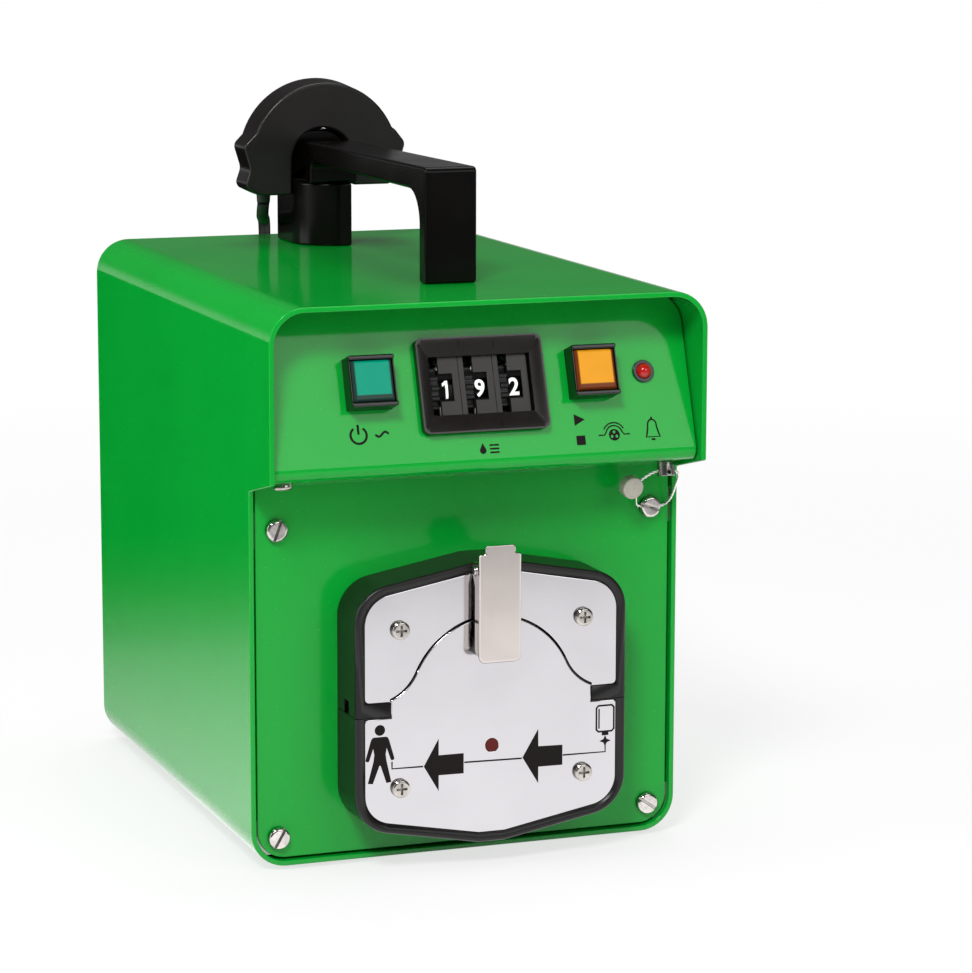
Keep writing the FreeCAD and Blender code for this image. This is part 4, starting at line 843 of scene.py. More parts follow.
def merged_copy(node: str, fronts: bool = True) -> bmesh.types.BMesh:
    """A CAD node's mesh with its corners joined and its triangles joined into whole faces.

    Args:
        node: the CAD node.
        fronts: whether that holds for the faces that look straight forward too.

    Returns:
        The copy.
    """
    form = bmesh.new()
    form.from_mesh(frame["nodes"][node].data)
    bmesh.ops.remove_doubles(form, verts=form.verts[:], dist=CORNER_GAP)
    edges = [edge for edge in form.edges
             if fronts or all(face.normal.y > -STRAIGHT_ON for face in edge.link_faces)]
    bmesh.ops.dissolve_limit(form, angle_limit=FLAT_ANGLE, use_dissolve_boundaries=False,
                             verts=form.verts[:] if fronts else [], edges=edges)
    return form


def ease_edges(form: bmesh.types.BMesh, ease: float, segments: int, clamp: bool = False) -> None:
    """Rounds a mesh's sharp edges.

    Args:
        form: the mesh.
        ease: width of the rounding, in metres.
        segments: faces across it.
        clamp: whether the width is held back where edges are close.
    """
    sharp = [edge for edge in form.edges
             if len(edge.link_faces) == 2 and edge.calc_face_angle(0.0) > EDGE_ANGLE]
    bmesh.ops.bevel(form, geom=sharp, offset=ease, offset_type="OFFSET", segments=segments,
                    profile=0.5, affect="EDGES", clamp_overlap=clamp, material=-1)


def rings(edges: Iterable[bmesh.types.BMEdge]) -> list[list[bmesh.types.BMVert]]:
    """Sorts edges into the closed rings that they make.

    Args:
        edges: the edges, two at each vertex.

    Returns:
        The vertices of each ring, in order.
    """
    neighbours: dict[bmesh.types.BMVert, list[bmesh.types.BMVert]] = {}
    for edge in edges:
        first, second = edge.verts
        neighbours.setdefault(first, []).append(second)
        neighbours.setdefault(second, []).append(first)
    found = []
    while neighbours:
        here = next(iter(neighbours))
        ring = []
        while here in neighbours:
            ring.append(here)
            ahead = [vertex for vertex in neighbours.pop(here) if vertex in neighbours]
            if not ahead:
                break
            here = ahead[0]
        found.append(ring)
    return found


def facing(origin: Vector, lean: float = 0.0) -> Matrix:
    """Placement of art drawn flat, x to the right, y up and z out of the front.

    Args:
        origin: where the drawing's own origin comes to lie.
        lean: how far the front leans back, in radians.

    Returns:
        The placement.
    """
    sine, cosine = math.sin(lean), math.cos(lean)
    return Matrix(((1, 0, 0, origin.x), (0, sine, -cosine, origin.y), (0, cosine, sine, origin.z),
                   (0, 0, 0, 1)))


def arc(centre: Pair, radius: float, start: float, end: float, steps: int = 12) -> list[Pair]:
    """Points along an arc.

    Args:
        centre: middle of the arc.
        radius: its radius.
        start: angle of the first point, in degrees from x towards y.
        end: angle of the last point.
        steps: parts that it is divided into.

    Returns:
        One point more than there are steps.
    """
    angles = [math.radians(start + (end - start) * step / steps) for step in range(steps + 1)]
    return [(centre[0] + radius * math.cos(a), centre[1] + radius * math.sin(a)) for a in angles]


class SubAssembly:
    """Common work of the sub-assemblies: dressing, easing and adding pieces."""

    def dressed(self, finish: Finish, *nodes: str) -> None:
        """Gives CAD nodes that stay as they are their finish.

        Args:
            finish: the finish.
            nodes: the CAD nodes.
        """
        for node in nodes:
            piece = frame["nodes"][node]
            for slot in piece.material_slots:
                slot.material = material_of(finish)
            if not piece.material_slots:
                piece.data.materials.append(material_of(finish))
            log.info("%s dressed in %s", node, finish.title)

    def added(self, piece: bpy.types.Object, finish: Finish, body: str = "pump") -> None:
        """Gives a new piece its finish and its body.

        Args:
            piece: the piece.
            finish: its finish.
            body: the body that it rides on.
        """
        piece.data.materials.clear()
        piece.data.materials.append(material_of(finish))
        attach(piece, body)
        log.info("%s added on %s in %s", piece.name, body, finish.title)

    def eased(self, finish: Finish, ease: float, segments: int, *nodes: str,
              clamp: bool = False) -> None:
        """Replaces CAD nodes with copies whose sharp edges are rounded.

        Args:
            finish: the copies' finish.
            ease: width of the rounding in millimetres, or 0 for a copy without any.
            segments: faces across the rounding.
            nodes: the CAD nodes.
            clamp: whether the rounding is held back where edges are close.
        """
        for node in nodes:
            form = merged_copy(node, ease > 0)
            if ease > 0:
                ease_edges(form, ease * MM, segments, clamp)
            piece = blank(node + "_finished", form)
            smooth(piece)
            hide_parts(node)
            self.added(piece, finish, NODE_BODY[node])

    def plated(self, finish: Finish, ease: float, node: str) -> None:
        """Replaces an upright CAD plate with one whose front and back edges are rounded.

        Args:
            finish: the plate's finish.
            ease: radius of the rounding, in millimetres.
            node: the CAD node, flat and square to the pump's front.
        """
        form = merged_copy(node)
        low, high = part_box(node)
        fronts = {face for face in form.faces if face.normal.y < -SQUARE_ON
                  and face.calc_center_median().y < low.y + 0.1 * MM}
        border = [edge for edge in form.edges
                  if sum(face in fronts for face in edge.link_faces) == 1]
        outlines = [[(vertex.co.x / MM, vertex.co.z / MM) for vertex in ring]
                    for ring in rings(border)]
        form.free()
        middle = Vector((0.0, (low.y + high.y) / 2, 0.0))
        drawing = self.filled(node, outlines, (high.y - low.y) / MM / 2 - ease)
        drawing.bevel_depth = ease * MM
        drawing.bevel_resolution = 2
        drawing.offset = -ease * MM
        form = joined([formed(drawing, facing(middle))])
        fronts = {face for face in form.faces if abs(face.normal.y) > SQUARE_ON}
        for face in fronts:
            if face.normal.y * (face.calc_center_median().y - middle.y) < 0:
                face.normal_flip()
        for edge in form.edges:
            edge.smooth = sum(face in fronts for face in edge.link_faces) != 1
        for face in form.faces:
            face.smooth = True
        piece = blank(node + "_finished", form)
        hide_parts(node)
        self.added(piece, finish, NODE_BODY[node])

    @staticmethod
    def filled(name: str, outlines: Sequence[Outline], half: float) -> bpy.types.Curve:
        """A flat drawing of closed outlines.

        Args:
            name: the drawing's name.
            outlines: the outlines in millimetres; one inside another is a hole in it.
            half: half its thickness, in millimetres.

        Returns:
            The drawing.
        """
        drawing = curve(name, map(flat, outlines), closed=True)
        drawing.dimensions = "2D"
        drawing.fill_mode = "BOTH"
        drawing.extrude = half * MM
        return drawing

    def printed(self, name: str, outlines: Sequence[Outline], placement: Matrix,
                finish: Finish = PRINT, thick: float = 0.03) -> None:
        """Prints a flat mark on the pump from closed outlines.

        Args:
            name: the mark's name.
            outlines: the outlines in millimetres; one inside another is a hole in it.
            placement: where the drawing plane lies in the frame.
            finish: the ink.
            thick: height of the ink in millimetres.
        """
        drawing = self.filled(name, outlines, thick / 2)
        self.added(blank(name, formed(drawing, placement)), finish)

    def ruled(self, name: str, lines: Sequence[Outline], width: float, placement: Matrix,
              finish: Finish = PRINT, closed: bool = False) -> None:
        """Prints lines of one width on the pump.

        Args:
            name: the mark's name.
            lines: the lines in millimetres.
            width: how wide they are, in millimetres.
            placement: where the drawing plane lies in the frame.
            finish: the ink.
            closed: whether each line ends where it starts.
        """
        drawing = curve(name, map(flat, lines), closed)
        drawing.bevel_depth = width * MM / 2
        drawing.bevel_resolution = 2
        drawing.use_fill_caps = not closed
        low_relief = placement @ Matrix.Diagonal((1.0, 1.0, 0.1, 1.0))
        self.added(blank(name, formed(drawing, low_relief)), finish)


# --- Case ---------------------------------------------------------------------------------------
@dataclass
class Case(SubAssembly):
    """Folded case, its plates, screws, feet and inner brackets."""

    sheet_ease: float = 0.55
    plate_ease: float = 0.4

    def build(self) -> None:
        """Dresses the case from outside in."""
        self.eased(GREEN, self.sheet_ease, 3, "case_wrap")
        self.eased(PLATE_GREEN, self.plate_ease, 2, "front_plate")
        self.eased(GREEN, self.plate_ease, 2, "rear_panel")
        self.eased(PLATE_SCREW, 0.15, 2, "slotted_screws")
        self.eased(FACE_SCREW, 0.1, 1, "cross_head_screws")
        self.dressed(RUBBER, "feet")
        self.dressed(ZINC, "case_brackets")


# --- Control panel ------------------------------------------------------------------------------
@dataclass
class ControlPanel(SubAssembly):
    """Leaning panel with its push buttons, thumbwheel switch, lamp and marks."""

    lean: float = math.radians(18.8)
    foot_y: float = 3.7
    foot_z: float = 180.0
    wheel_rise: float = 32.8
    wheel_middle: float = -1.9
    wheel_pitch: float = 15.85
    axis_depth: float = 15.4
    drum_radius: float = 13.9
    drum_offset: float = 1.45
    settled: float = math.radians(-3.0)
    numeral_height: float = 7.9
    numeral_width: float = 0.9
    numeral_bands: int = 8
    digit_step: float = math.radians(36)
    font_size: float = 10.0
    boldness: float = 0.26
    ink: float = 0.03
    ink_gap: float = 0.02
    one: tuple[Pair, ...] = ((0.0, 0.0), (1.2, 0.0), (1.2, 7.4), (0.1, 7.4), (-1.5, 6.2),
                             (-1.5, 5.0), (0.0, 5.7))
    # The window's span, and where the strips of painted shade lie behind it and how far they stand
    # clear of the shown digit.
    window: tuple[float, float, float] = (-1.6, 4.9, 12.4)
    shutter_depth: float = 1.36
    shutter_gap: float = 0.45
    shown: tuple[int, int, int] = (1, 9, 2)
    cap_height: float = 17.8
    bezel_rise: float = 33.1
    seam_rise: float = 16.45
    seam_width: float = 0.16
    seam_relief: float = 0.01
    crest: Pair = (4.0, 1.8)
    slope: float = 6.8

    def spot(self, x: float, rise: float, out: float = 0.0) -> Vector:
        """A place on the panel, as a point of the frame.

        Args:
            x: how far across, in millimetres like the others.
            rise: how far up the slope.
            out: how far in front of the panel's face.

        Returns:
            The point.
        """
        sine, cosine = math.sin(self.lean), math.cos(self.lean)
        return at(x, self.foot_y - out * cosine + rise * sine,
                  self.foot_z + out * sine + rise * cosine)

    def on_panel(self, x: float, rise: float) -> Matrix:
        """Placement of a mark drawn on the panel's face."""
        return facing(self.spot(x, rise), self.lean)

    def build(self) -> None:
        """Panel, switches, numerals, lamp and marks."""
        self.eased(GREEN, 0.4, 2, "control_panel")
        self.eased(SWITCH_BLACK, 0.6, 3, "mains_button_housing", "start_button_housing")
        # Both caps carry a painted glow and painted shade on their rims; the orange cap's last two
        # colours are these.
        self.eased(self.cap("teal", "mains"), 0.2, 2, "mains_button_cap")
        orange = self.cap("orange", "start", (0.72, 0.30, 0.012), (0.08, 0.035, 0.0),
                          (0.16, 0.035, 0.008))
        self.eased(orange, 0.2, 2, "start_button_cap")
        self.eased(BEZEL_BLACK, 0.25, 2, "thumbwheel_bezel", clamp=True)
        self.seams()
        self.eased(PLATE_BLACK, 0.15, 2, "thumbwheel_modules")
        for index, value in enumerate(self.shown):
            self.eased(DRUM_BLACK, 0.0, 0, f"digit_wheel_{index + 1}")
            self.numerals(index, value)
            # Black strips of painted shade behind each window.
            self.shutter(index)
        self.eased(SWITCH_BLACK, 0.3, 3, "alarm_lamp_bezel")
        self.eased(AMBER, 0.0, 0, "alarm_lamp")
        self.mains_mark()
        self.rate_mark()
        self.run_marks()
        self.bell_mark()

    def cap(self, title: str, side: str, tone: RGB = Lens.tone, glow: RGB = Lens.glow,
            rim: RGB = RimmedLens.rim) -> RimmedLens:
        """The lens finish of one button cap, with its painted rim shade round where that cap stands.

        Args:
            title: the colour's name.
            side: the button, mains or start.
            tone: colour of the cap.
            glow: painted light from inside it, given as emission.
            rim: colour of the painted shade on its rim.

        Returns:
            The finish.
        """
        low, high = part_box(side + "_button_cap")
        middle = (low + high) / 2
        rise = middle.y * math.sin(self.lean) + middle.z * math.cos(self.lean)
        return RimmedLens(title + " lens", title + "_lens", tone, glow, rim=rim,
                          centre=(middle.x, rise), lean=self.lean,
                          half=((high.x - low.x) / 2, self.cap_height * MM / 2))

    def wheel_middle_of(self, index: int) -> float:
        """Middle of one module of the switch, counted from 0 on the left."""
        return self.wheel_middle + (index - 1) * self.wheel_pitch

    def numerals(self, index: int, shown: int) -> None:
        """Prints 0 to 9 round one drum.

        Args:
            index: the module, counted from 0 on the left.
            shown: the digit at the window.
        """
        middle = self.wheel_middle_of(index) + self.drum_offset
        axis = self.spot(middle, self.wheel_rise, -self.axis_depth)
        whole = joined(self.numeral(digit, self.digit_step * (digit - shown) + self.settled)
                       for digit in range(10))
        bmesh.ops.transform(whole, matrix=facing(axis, self.lean), verts=whole.verts[:])
        bmesh.ops.recalc_face_normals(whole, faces=whole.faces[:])
        piece = blank(f"numerals_{index + 1}", whole)
        smooth(piece, weighted=False)
        self.added(piece, NUMERAL, f"wheel_{index + 1}")

    def seams(self) -> None:
        """Fine joints between the modules, across the top and bottom slopes of the bezel."""
        reach, fall = self.crest
        out = reach - fall / 2 + self.seam_relief
        tilt = math.atan2(fall, self.slope)
        for side, name in ((1, "upper"), (-1, "lower")):
            middle = self.spot(0.0, self.bezel_rise + side * self.seam_rise, out)
            place = facing(middle, self.lean - side * tilt)
            half = self.wheel_pitch / 2
            lines = [[(x, -self.slope / 2), (x, self.slope / 2)]
                     for x in (self.wheel_middle - half, self.wheel_middle + half)]
            self.ruled("bezel_seam_" + name, lines, self.seam_width, place, SHADE_AND_SEAM_BLACK)

    def shutter(self, index: int) -> None:
        """Painted shade: black strips behind one window, standing for the shade that hides the
        digits above and below.

        Args:
            index: the module, counted from 0 on the left.
        """
        left, right, reach = self.window
        shown = self.settled * self.drum_radius
        half = self.numeral_height / 2 + self.shutter_gap
        strips = [[(left, low), (right, low), (right, high), (left, high)]
                  for low, high in ((shown + half, reach), (-reach, shown - half))]
        place = self.spot(self.wheel_middle_of(index), self.wheel_rise, -self.shutter_depth)
        self.printed(f"wheel_painted_shade_{index + 1}", strips, facing(place, self.lean), SHADE_AND_SEAM_BLACK, 0.1)

    def numeral(self, digit: int, turn: float) -> bmesh.types.BMesh:
        """One bold digit, cut into narrow bands and wrapped onto the drum.

        Args:
            digit: the digit.
            turn: how far up from the window it stands, in radians.

        Returns:
            The digit, about the drum's axis.
        """
        if digit == 1:
            drawing = self.filled("numeral", [self.one], self.ink)
        else:
            drawing = bpy.data.curves.new("numeral", "FONT")
            drawing.body = str(digit)
            drawing.size = self.font_size * MM
            drawing.offset = self.boldness * MM
            drawing.extrude = self.ink * MM
            drawing.resolution_u = 4
        form = joined([formed(drawing)])
        low = Vector((min(v.co.x for v in form.verts), min(v.co.y for v in form.verts), 0))
        high = Vector((max(v.co.x for v in form.verts), max(v.co.y for v in form.verts), 0))
        size = self.numeral_height * MM / (high.y - low.y)
        bmesh.ops.translate(form, vec=-(low + high) / 2, verts=form.verts[:])
        bmesh.ops.scale(form, vec=(size * self.numeral_width, size, 1.0), verts=form.verts[:])
        for band in range(1, self.numeral_bands):
            height = (band / self.numeral_bands - 0.5) * self.numeral_height * MM
            bmesh.ops.bisect_plane(form, geom=form.verts[:] + form.edges[:] + form.faces[:],
                                   dist=CUT_GAP, plane_co=(0, height, 0), plane_no=(0, 1, 0))
        radius = self.drum_radius * MM
        for vertex in form.verts:
            angle = vertex.co.y / radius + turn
            reach = radius + self.ink_gap * MM + vertex.co.z
            vertex.co = Vector((vertex.co.x, reach * math.sin(angle), reach * math.cos(angle)))
        return form

    def mains_mark(self) -> None:
        """A ring with a bar, for mains power, over a wave line for alternating current."""
        place = self.on_panel(-58.0, 14.0)
        self.ruled("mains_mark_ring", [arc((0, 0), 3.6, 125, 415, 24)], 1.05, place)
        self.ruled("mains_mark_bar", [[(0, 0.4), (0, 4.6)]], 1.05, place)
        wave = [(x / 4, math.sin(x * math.pi / 12)) for x in range(-12, 13)]
        self.ruled("mains_mark_wave", [wave], 0.95, self.on_panel(-47.5, 14.0))

    def rate_mark(self) -> None:
        """A drop beside three short strokes, for the flow rate."""
        drop = arc((0, 0), 1.5, -200, 20, 16) + [(0.55, 2.2), (0, 3.4), (-0.55, 2.2)]
        self.printed("rate_mark_drop", [drop], self.on_panel(-2.6, 4.4))
        strokes = [[(0, rise), (4.2, rise)] for rise in (-1.0, 0.6, 2.2)]
        self.ruled("rate_mark_strokes", strokes, 0.8, self.on_panel(0.6, 4.4))

    def run_marks(self) -> None:
        """A triangle for start, a square for stop, and a roller wheel under its tube."""
        play = [(-2.2, -2.6), (2.8, 0.0), (-2.2, 2.6)]
        self.printed("start_mark", [play], self.on_panel(43.0, 15.5))
        block = [(-2.1, -2.1), (2.1, -2.1), (2.1, 2.1), (-2.1, 2.1)]
        self.printed("stop_mark", [block], self.on_panel(43.0, 6.4))
        place = self.on_panel(58.8, 9.6)
        tube = [(-7.4, -1.5), (-4.6, -1.5), *arc((0, -1.4), 3.9, 165, 15, 16), (4.6, -1.5),
                (7.4, -1.5)]
        self.ruled("pump_mark_tube", [tube, arc((0, -1.4), 5.2, 152, 28, 16)], 0.62, place)
        wheel = [arc((0, -1.6), 2.6, 0, 345, 23)]
        wheel += [arc((1.3 * math.cos(a), -1.6 + 1.3 * math.sin(a)), 0.66, 0, 330, 11)
                  for a in map(math.radians, (90, 210, 330))]
        self.printed("pump_mark_wheel", wheel, place)

    def bell_mark(self) -> None:
        """An outline bell, for the alarm."""
        half = [(0.9, 4.4), (1.9, 3.2), (2.2, 0.6), (2.9, -2.2), (3.3, -3.2)]
        outline = half + [(-x, y) for x, y in reversed(half)]
        place = self.on_panel(77.0, 9.4)
        self.ruled("bell_mark", [outline], 0.75, place, closed=True)
        self.ruled("bell_mark_clapper", [[(-0.9, -4.3), (0.9, -4.3)]], 0.9, place)
        self.ruled("bell_mark_top", [[(0, 4.6), (0, 5.7)]], 0.9, place)


# --- Pump head ----------------------------------------------------------------------------------
@dataclass
class PumpHead(SubAssembly):
    """Fixed block, sliding jaw, steel face plates with their art, rotor and rollers."""

    head_x: float = 3.2
    plate_y: float = 9.0
    stroke: float = 0.75
    arrows: tuple[tuple[str, tuple[Pair, ...]], ...] = (
        ("arrow_left", ((-31.7, 45.5), (-24.8, 57.5), (-24.8, 50.0), (-13.2, 50.0), (-13.2, 40.9),
                        (-24.8, 41.0), (-24.8, 33.9))),
        ("arrow_right", ((14.3, 45.6), (21.7, 58.0), (21.8, 50.1), (33.2, 49.8), (33.2, 40.7),
                         (21.8, 40.8), (21.8, 33.3))))
    flow: tuple[tuple[Pair, ...], ...] = (
        ((-46.3, 48.9), (-46.3, 45.8), (-32.0, 45.6)), ((-12.9, 45.8), (14.0, 45.3)),
        ((33.4, 45.1), (53.6, 44.9), (53.5, 50.4)))
    patient_x: float = -51.8
    trunk: tuple[Pair, ...] = (
        (-2.9, 60.4), (2.9, 60.4), (3.7, 59.9), (4.2, 58.9), (6.6, 50.6), (6.4, 49.9), (5.4, 49.6),
        (4.9, 50.1), (3.1, 55.4), (2.6, 52.6), (3.0, 49.6), (5.2, 40.0), (2.9, 39.7), (0.25, 47.6),
        (-0.25, 47.6), (-3.3, 39.7), (-5.6, 40.0), (-3.0, 49.6), (-2.6, 52.6), (-3.1, 55.4),
        (-4.9, 50.1), (-5.4, 49.6), (-6.4, 49.9), (-6.6, 50.6), (-4.2, 58.9), (-3.7, 59.9))
    drip: Pair = (53.5, 49.9)
    star: tuple[Pair, ...] = ((0, 2.6), (0.8, 0.8), (2.8, 0), (0.8, -0.8), (0, -2.6), (-0.8, -0.8),
                              (-2.8, 0), (-0.8, 0.8))

    def build(self) -> None:
        """Black halves, plates, screws, window, art, then what turns inside."""
        self.eased(HEAD_BLACK, 0.0, 0, "pump_block", "pressure_jaw")
        self.plated(FACE_STEEL, 0.4, "jaw_face_plate")
        self.plated(FACE_STEEL, 0.4, "block_face_plate")
        self.eased(FACE_SCREW, 0.1, 1, "jaw_plate_screws")
        self.eased(RED, 0.1, 2, "run_window")
        self.art()
        self.dressed(ACETAL, "rotor")
        self.dressed(GROUND, "roller_1", "roller_2", "roller_3", "guide_rods", "drive_shaft")

    def sheet(self) -> Matrix:
        """Drawing plane of the lower plate: x from the head's middle, y up from the case's foot."""
        return facing(at(self.head_x, self.plate_y, 0.0))

    def art(self) -> None:
        """The line from the bottle to the patient, with two arrows that show the flow."""
        for name, outline in self.arrows:
            self.printed(name, [outline], self.sheet())
        self.ruled("flow_line", self.flow, self.stroke, self.sheet())
        self.patient()
        self.bottle()

    def patient(self) -> None:
        """A plain standing figure: round head, trunk, arms and legs of even width."""
        self.printed("patient_head", [arc((self.patient_x, 63.4), 2.4, 0, 345, 23)], self.sheet())
        self.printed("patient_figure", [[(self.patient_x + x, z) for x, z in self.trunk]],
                     self.sheet())

    def bottle(self) -> None:
        """The supply bottle with its neck and the drip below it."""
        left, right, foot, head = 49.3, 57.6, 54.2, 66.0
        body = [(left, foot + 1), (left + 1, foot), (right - 1, foot), (right, foot + 1),
                (right, head - 1), (right - 1, head), (left + 1, head), (left, head - 1)]
        self.ruled("bottle_outline", [body], 0.9, self.sheet(), closed=True)
        self.ruled("bottle_level", [[(left + 1.25, foot + 1.4), (left + 1.25, head - 1.4)]], 0.7,
                   self.sheet())
        self.printed("bottle_neck", [[(51.9, 54.2), (55.1, 54.2), (55.1, 52.4), (51.9, 52.4)]],
                     self.sheet())
        across, up = self.drip
        self.printed("drip_mark", [[(across + x, up + z) for x, z in self.star]], self.sheet())


@dataclass
class Latch(SubAssembly):
    """Lever that holds the jaw down, its pin and the catch that it snaps over."""

    def build(self) -> None:
        """Lever, pin and catch."""
        self.eased(LEVER_STEEL, 0.55, 3, "latch_lever")
        self.eased(GROUND, 0.4, 3, "latch_pin")
        self.dressed(BLACK, "latch_catch")


# --- Seal ---------------------------------------------------------------------------------------
@dataclass
class Seal(SubAssembly):
    """Sealing screw, pressed disc and the twisted wire that ties them to the plate's screw."""

    strand: float = 0.38
    plump: float = 0.95
    lay_length: float = 4.0

    def route(self) -> list[Vector]:
        """The wire's path: disc, sealing screw, plate screw, disc.

        Returns:
            The path's control points.
        """
        disc = (72.7, 20.0, 161.4)
        hole = (88.5, 18.09, 168.25)
        screw = (87.3, 33.15, 149.5)
        left, right = screw[0] - 4.9, screw[0] + 4.9
        return [at(*place) for place in (
            (disc[0] + 1.6, disc[1], disc[2] + 1.2),
            (78.8, hole[1] + 0.5, hole[2] - 2.4),
            (83.2, hole[1], hole[2]),
            (92.6, hole[1], hole[2]),
            (95.5, hole[1] + 1.6, hole[2] - 2.6),
            (96.0, hole[1] + 5.0, hole[2] - 6.0),
            (95.8, hole[1] + 10.2, screw[2] + 4.8),
            (94.9, screw[1] - 0.7, screw[2] + 1.2),
            (right + 0.4, screw[1], screw[2]),
            (left - 0.2, screw[1], screw[2]),
            (left - 3.0, screw[1] - 2.0, screw[2] + 1.8),
            (left - 5.0, screw[1] - 7.4, screw[2] + 5.8),
            (disc[0] + 2.0, disc[1] + 1.2, disc[2] - 1.8))]

    def build(self) -> None:
        """Screw, disc and the two strands."""
        self.eased(DULL, 0.3, 2, "sealing_screw")
        self.eased(LEAD, 0.5, 3, "seal_disc")
        centre = route_line("seal_route", self.route(), 12)
        offset = self.strand * MM
        piece = blank("seal_wire_twisted", joined(
            swept("seal_strand", twisted(centre, offset, self.lay_length * MM, phase),
                  offset * self.plump, 2)
            for phase in (0.0, math.pi)))
        smooth(piece, weighted=False)
        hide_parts("seal_wire")
        self.added(piece, WIRE)


def route_line(name: str, points: Sequence[Vector], resolution: int) -> list[Vector]:
    """The smooth line of a NURBS spline.

    Args:
        name: the spline's name.
        points: its control points.
        resolution: how many points it gets for each of them.

    Returns:
        The line's points in order.
    """
    drawing = curve(name, [points], flowing=True)
    spline = drawing.splines[0]
    spline.order_u = 3
    spline.use_endpoint_u = True
    spline.resolution_u = resolution
    mesh = traced(drawing)
    line = [vertex.co.copy() for vertex in mesh.vertices]
    bpy.data.meshes.remove(mesh)
    return line


def swept(name: str, line: Sequence[Vector], radius: float, roundness: int) -> bmesh.types.BMesh:
    """A round tube along a line, closed at both ends.

    Args:
        name: the tube's name.
        line: the points of its middle.
        radius: its radius in metres.
        roundness: how finely its section is divided.

    Returns:
        The tube.
    """
    drawing = curve(name, [line])
    drawing.bevel_depth = radius
    drawing.bevel_resolution = roundness
    drawing.use_fill_caps = True
    return formed(drawing)


def length_of(line: Sequence[Vector]) -> float:
    """Length of a line of points."""
    return sum((b - a).length for a, b in zip(line, line[1:]))


def twisted(line: Sequence[Vector], offset: float, pitch: float, phase: float) -> list[Vector]:
    """A strand that winds round a centre line.

    Args:
        line: the points of the centre line.
        offset: how far the strand runs from it.
        pitch: length of one turn.
        phase: angle at which the strand starts, in radians.

    Returns:
        The strand's points, one beside each of the line's.
    """
    side = Vector((0, 0, 1))
    travelled = 0.0
    strand = []
    for index, here in enumerate(line):
        ahead = (line[min(index + 1, len(line) - 1)] - line[max(index - 1, 0)]).normalized()
        side = (side - ahead * side.dot(ahead)).normalized()
        angle = phase + 2 * math.pi * travelled / pitch
        strand.append(here + side * offset * math.cos(angle)
                      + ahead.cross(side) * offset * math.sin(angle))
        if index + 1 < len(line):
            travelled += (line[index + 1] - here).length
    return strand


# --- Handle and drop sensor ---------------------------------------------------------------------
@dataclass
class Carrying(SubAssembly):
    """Handle and the rear post that holds the drop sensor."""

    def build(self) -> None:
        """Handle, post and sensor."""
        self.eased(HANDLE_BLACK, 1.5, 4, "handle")
        self.eased(HANDLE_BLACK, 1.2, 4, "handle_rear_post")
        self.eased(SENSOR_BLACK, 1.2, 3, "drop_sensor")


@dataclass
class SensorCable(SubAssembly):
    """Cable from the drop sensor to its socket on the back, its spare length in a tied coil.

    The length is in metres. Step, travel and the three ranges are degrees of turn round the coil.
    """

    radius: float = 3.0
    length: float = 1.17
    coil_x: float = 22.0
    coil_y: float = 352.0
    outer: float = 37.2
    inner: float = 30.8
    low: float = 1.0
    high: float = 7.3
    step: int = 20
    travel: int = 1120
    inward: tuple[int, int] = (300, 360)
    upward: tuple[int, int] = (600, 660)
    outward: tuple[int, int] = (900, 960)

    def drop(self) -> list[Vector]:
        """From the sensor over the rear edge and down the back to the bench.

        Returns:
            The control points.
        """
        return [at(*place) for place in (
            (-26.5, 249.5, 270.0), (-26.3, 251.5, 266.6), (-24.8, 257.0, 263.0),
            (-21.2, 268.5, 260.6), (-14.9, 287.5, 258.6), (-9.8, 303.2, 250.2),
            (-7.6, 311.6, 235.0), (-7.2, 313.0, 208.0), (-9.0, 312.0, 166.0),
            (-7.5, 311.5, 120.0), (-10.0, 311.8, 80.0), (-12.0, 312.2, 52.0),
            (-13.6, 313.8, 30.0), (-15.0, 320.0, 12.5), (-15.4, 334.0, 1.3))]

    def coil(self) -> list[Vector]:
        """Turns on the bench: outer then inner ring below, inner then outer ring on top.

        Returns:
            The control points.
        """
        out = 1.0 / math.cos(math.radians(self.step / 2))
        turns = []
        for travel in range(0, self.travel, self.step):
            inward = ramp(travel, *self.inward) - ramp(travel, *self.outward)
            reach = self.outer - (self.outer - self.inner) * inward
            height = self.low + (self.high - self.low) * ramp(travel, *self.upward)
            angle = math.radians(180 - travel)
            turns.append(at(self.coil_x + reach * out * math.cos(angle),
                            self.coil_y + reach * out * math.sin(angle), height))
        return turns

    def rise(self) -> list[Vector]:
        """Off the coil at the back, up and forward into the plug's tail.

        Returns:
            The control points.
        """
        return [at(*place) for place in (
            (22.0, 389.6, 7.5), (35.0, 389.0, 10.5), (48.5, 387.5, 20.0), (57.0, 383.5, 40.5),
            (58.0, 375.5, 61.0), (53.0, 357.0, 77.6), (52.0, 331.0, 78.0))]

    def build(self) -> None:
        """One tube along one spline, with gland, plug and tie."""
        self.eased(RUBBER, 0.3, 2, "cable_gland")
        self.eased(RUBBER, 0.4, 2, "sensor_plug")
        self.eased(TIE, 0.2, 2, "cable_tie")
        route = self.drop() + self.coil() + self.rise()
        line = route_line("sensor_cable_route", route, 5)
        piece = blank("sensor_cable", swept("sensor_cable", line, self.radius * MM, 5))
        piece.data.materials.append(material_of(RUBBER))
        smooth(piece, weighted=False)
        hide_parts("cable_drop", "cable_coil", "cable_rise")
        at(-26.5, 249.5, 268.0)
        at(-9.8, 303.2, 250.2)
        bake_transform(piece)
        log.info("sensor cable added, %.3f m long", length_of(line))


def ramp(value: float, start: float, end: float) -> float:
    """A smooth rise from 0 at start to 1 at end."""
    share = min(1.0, max(0.0, (value - start) / (end - start)))
    return share * share * (3 - 2 * share)


# --- Rear fittings and what is inside -----------------------------------------------------------
@dataclass
class RearFittings(SubAssembly):
    """Mains inlet, fuse and sensor socket."""

    def build(self) -> None:
        """Each fitting with its own finish."""
        self.eased(BLACK, 0.3, 2, "mains_inlet", "fuse_holder", "fuse_cap")
        self.eased(PLATED, 0.3, 2, "sensor_socket")


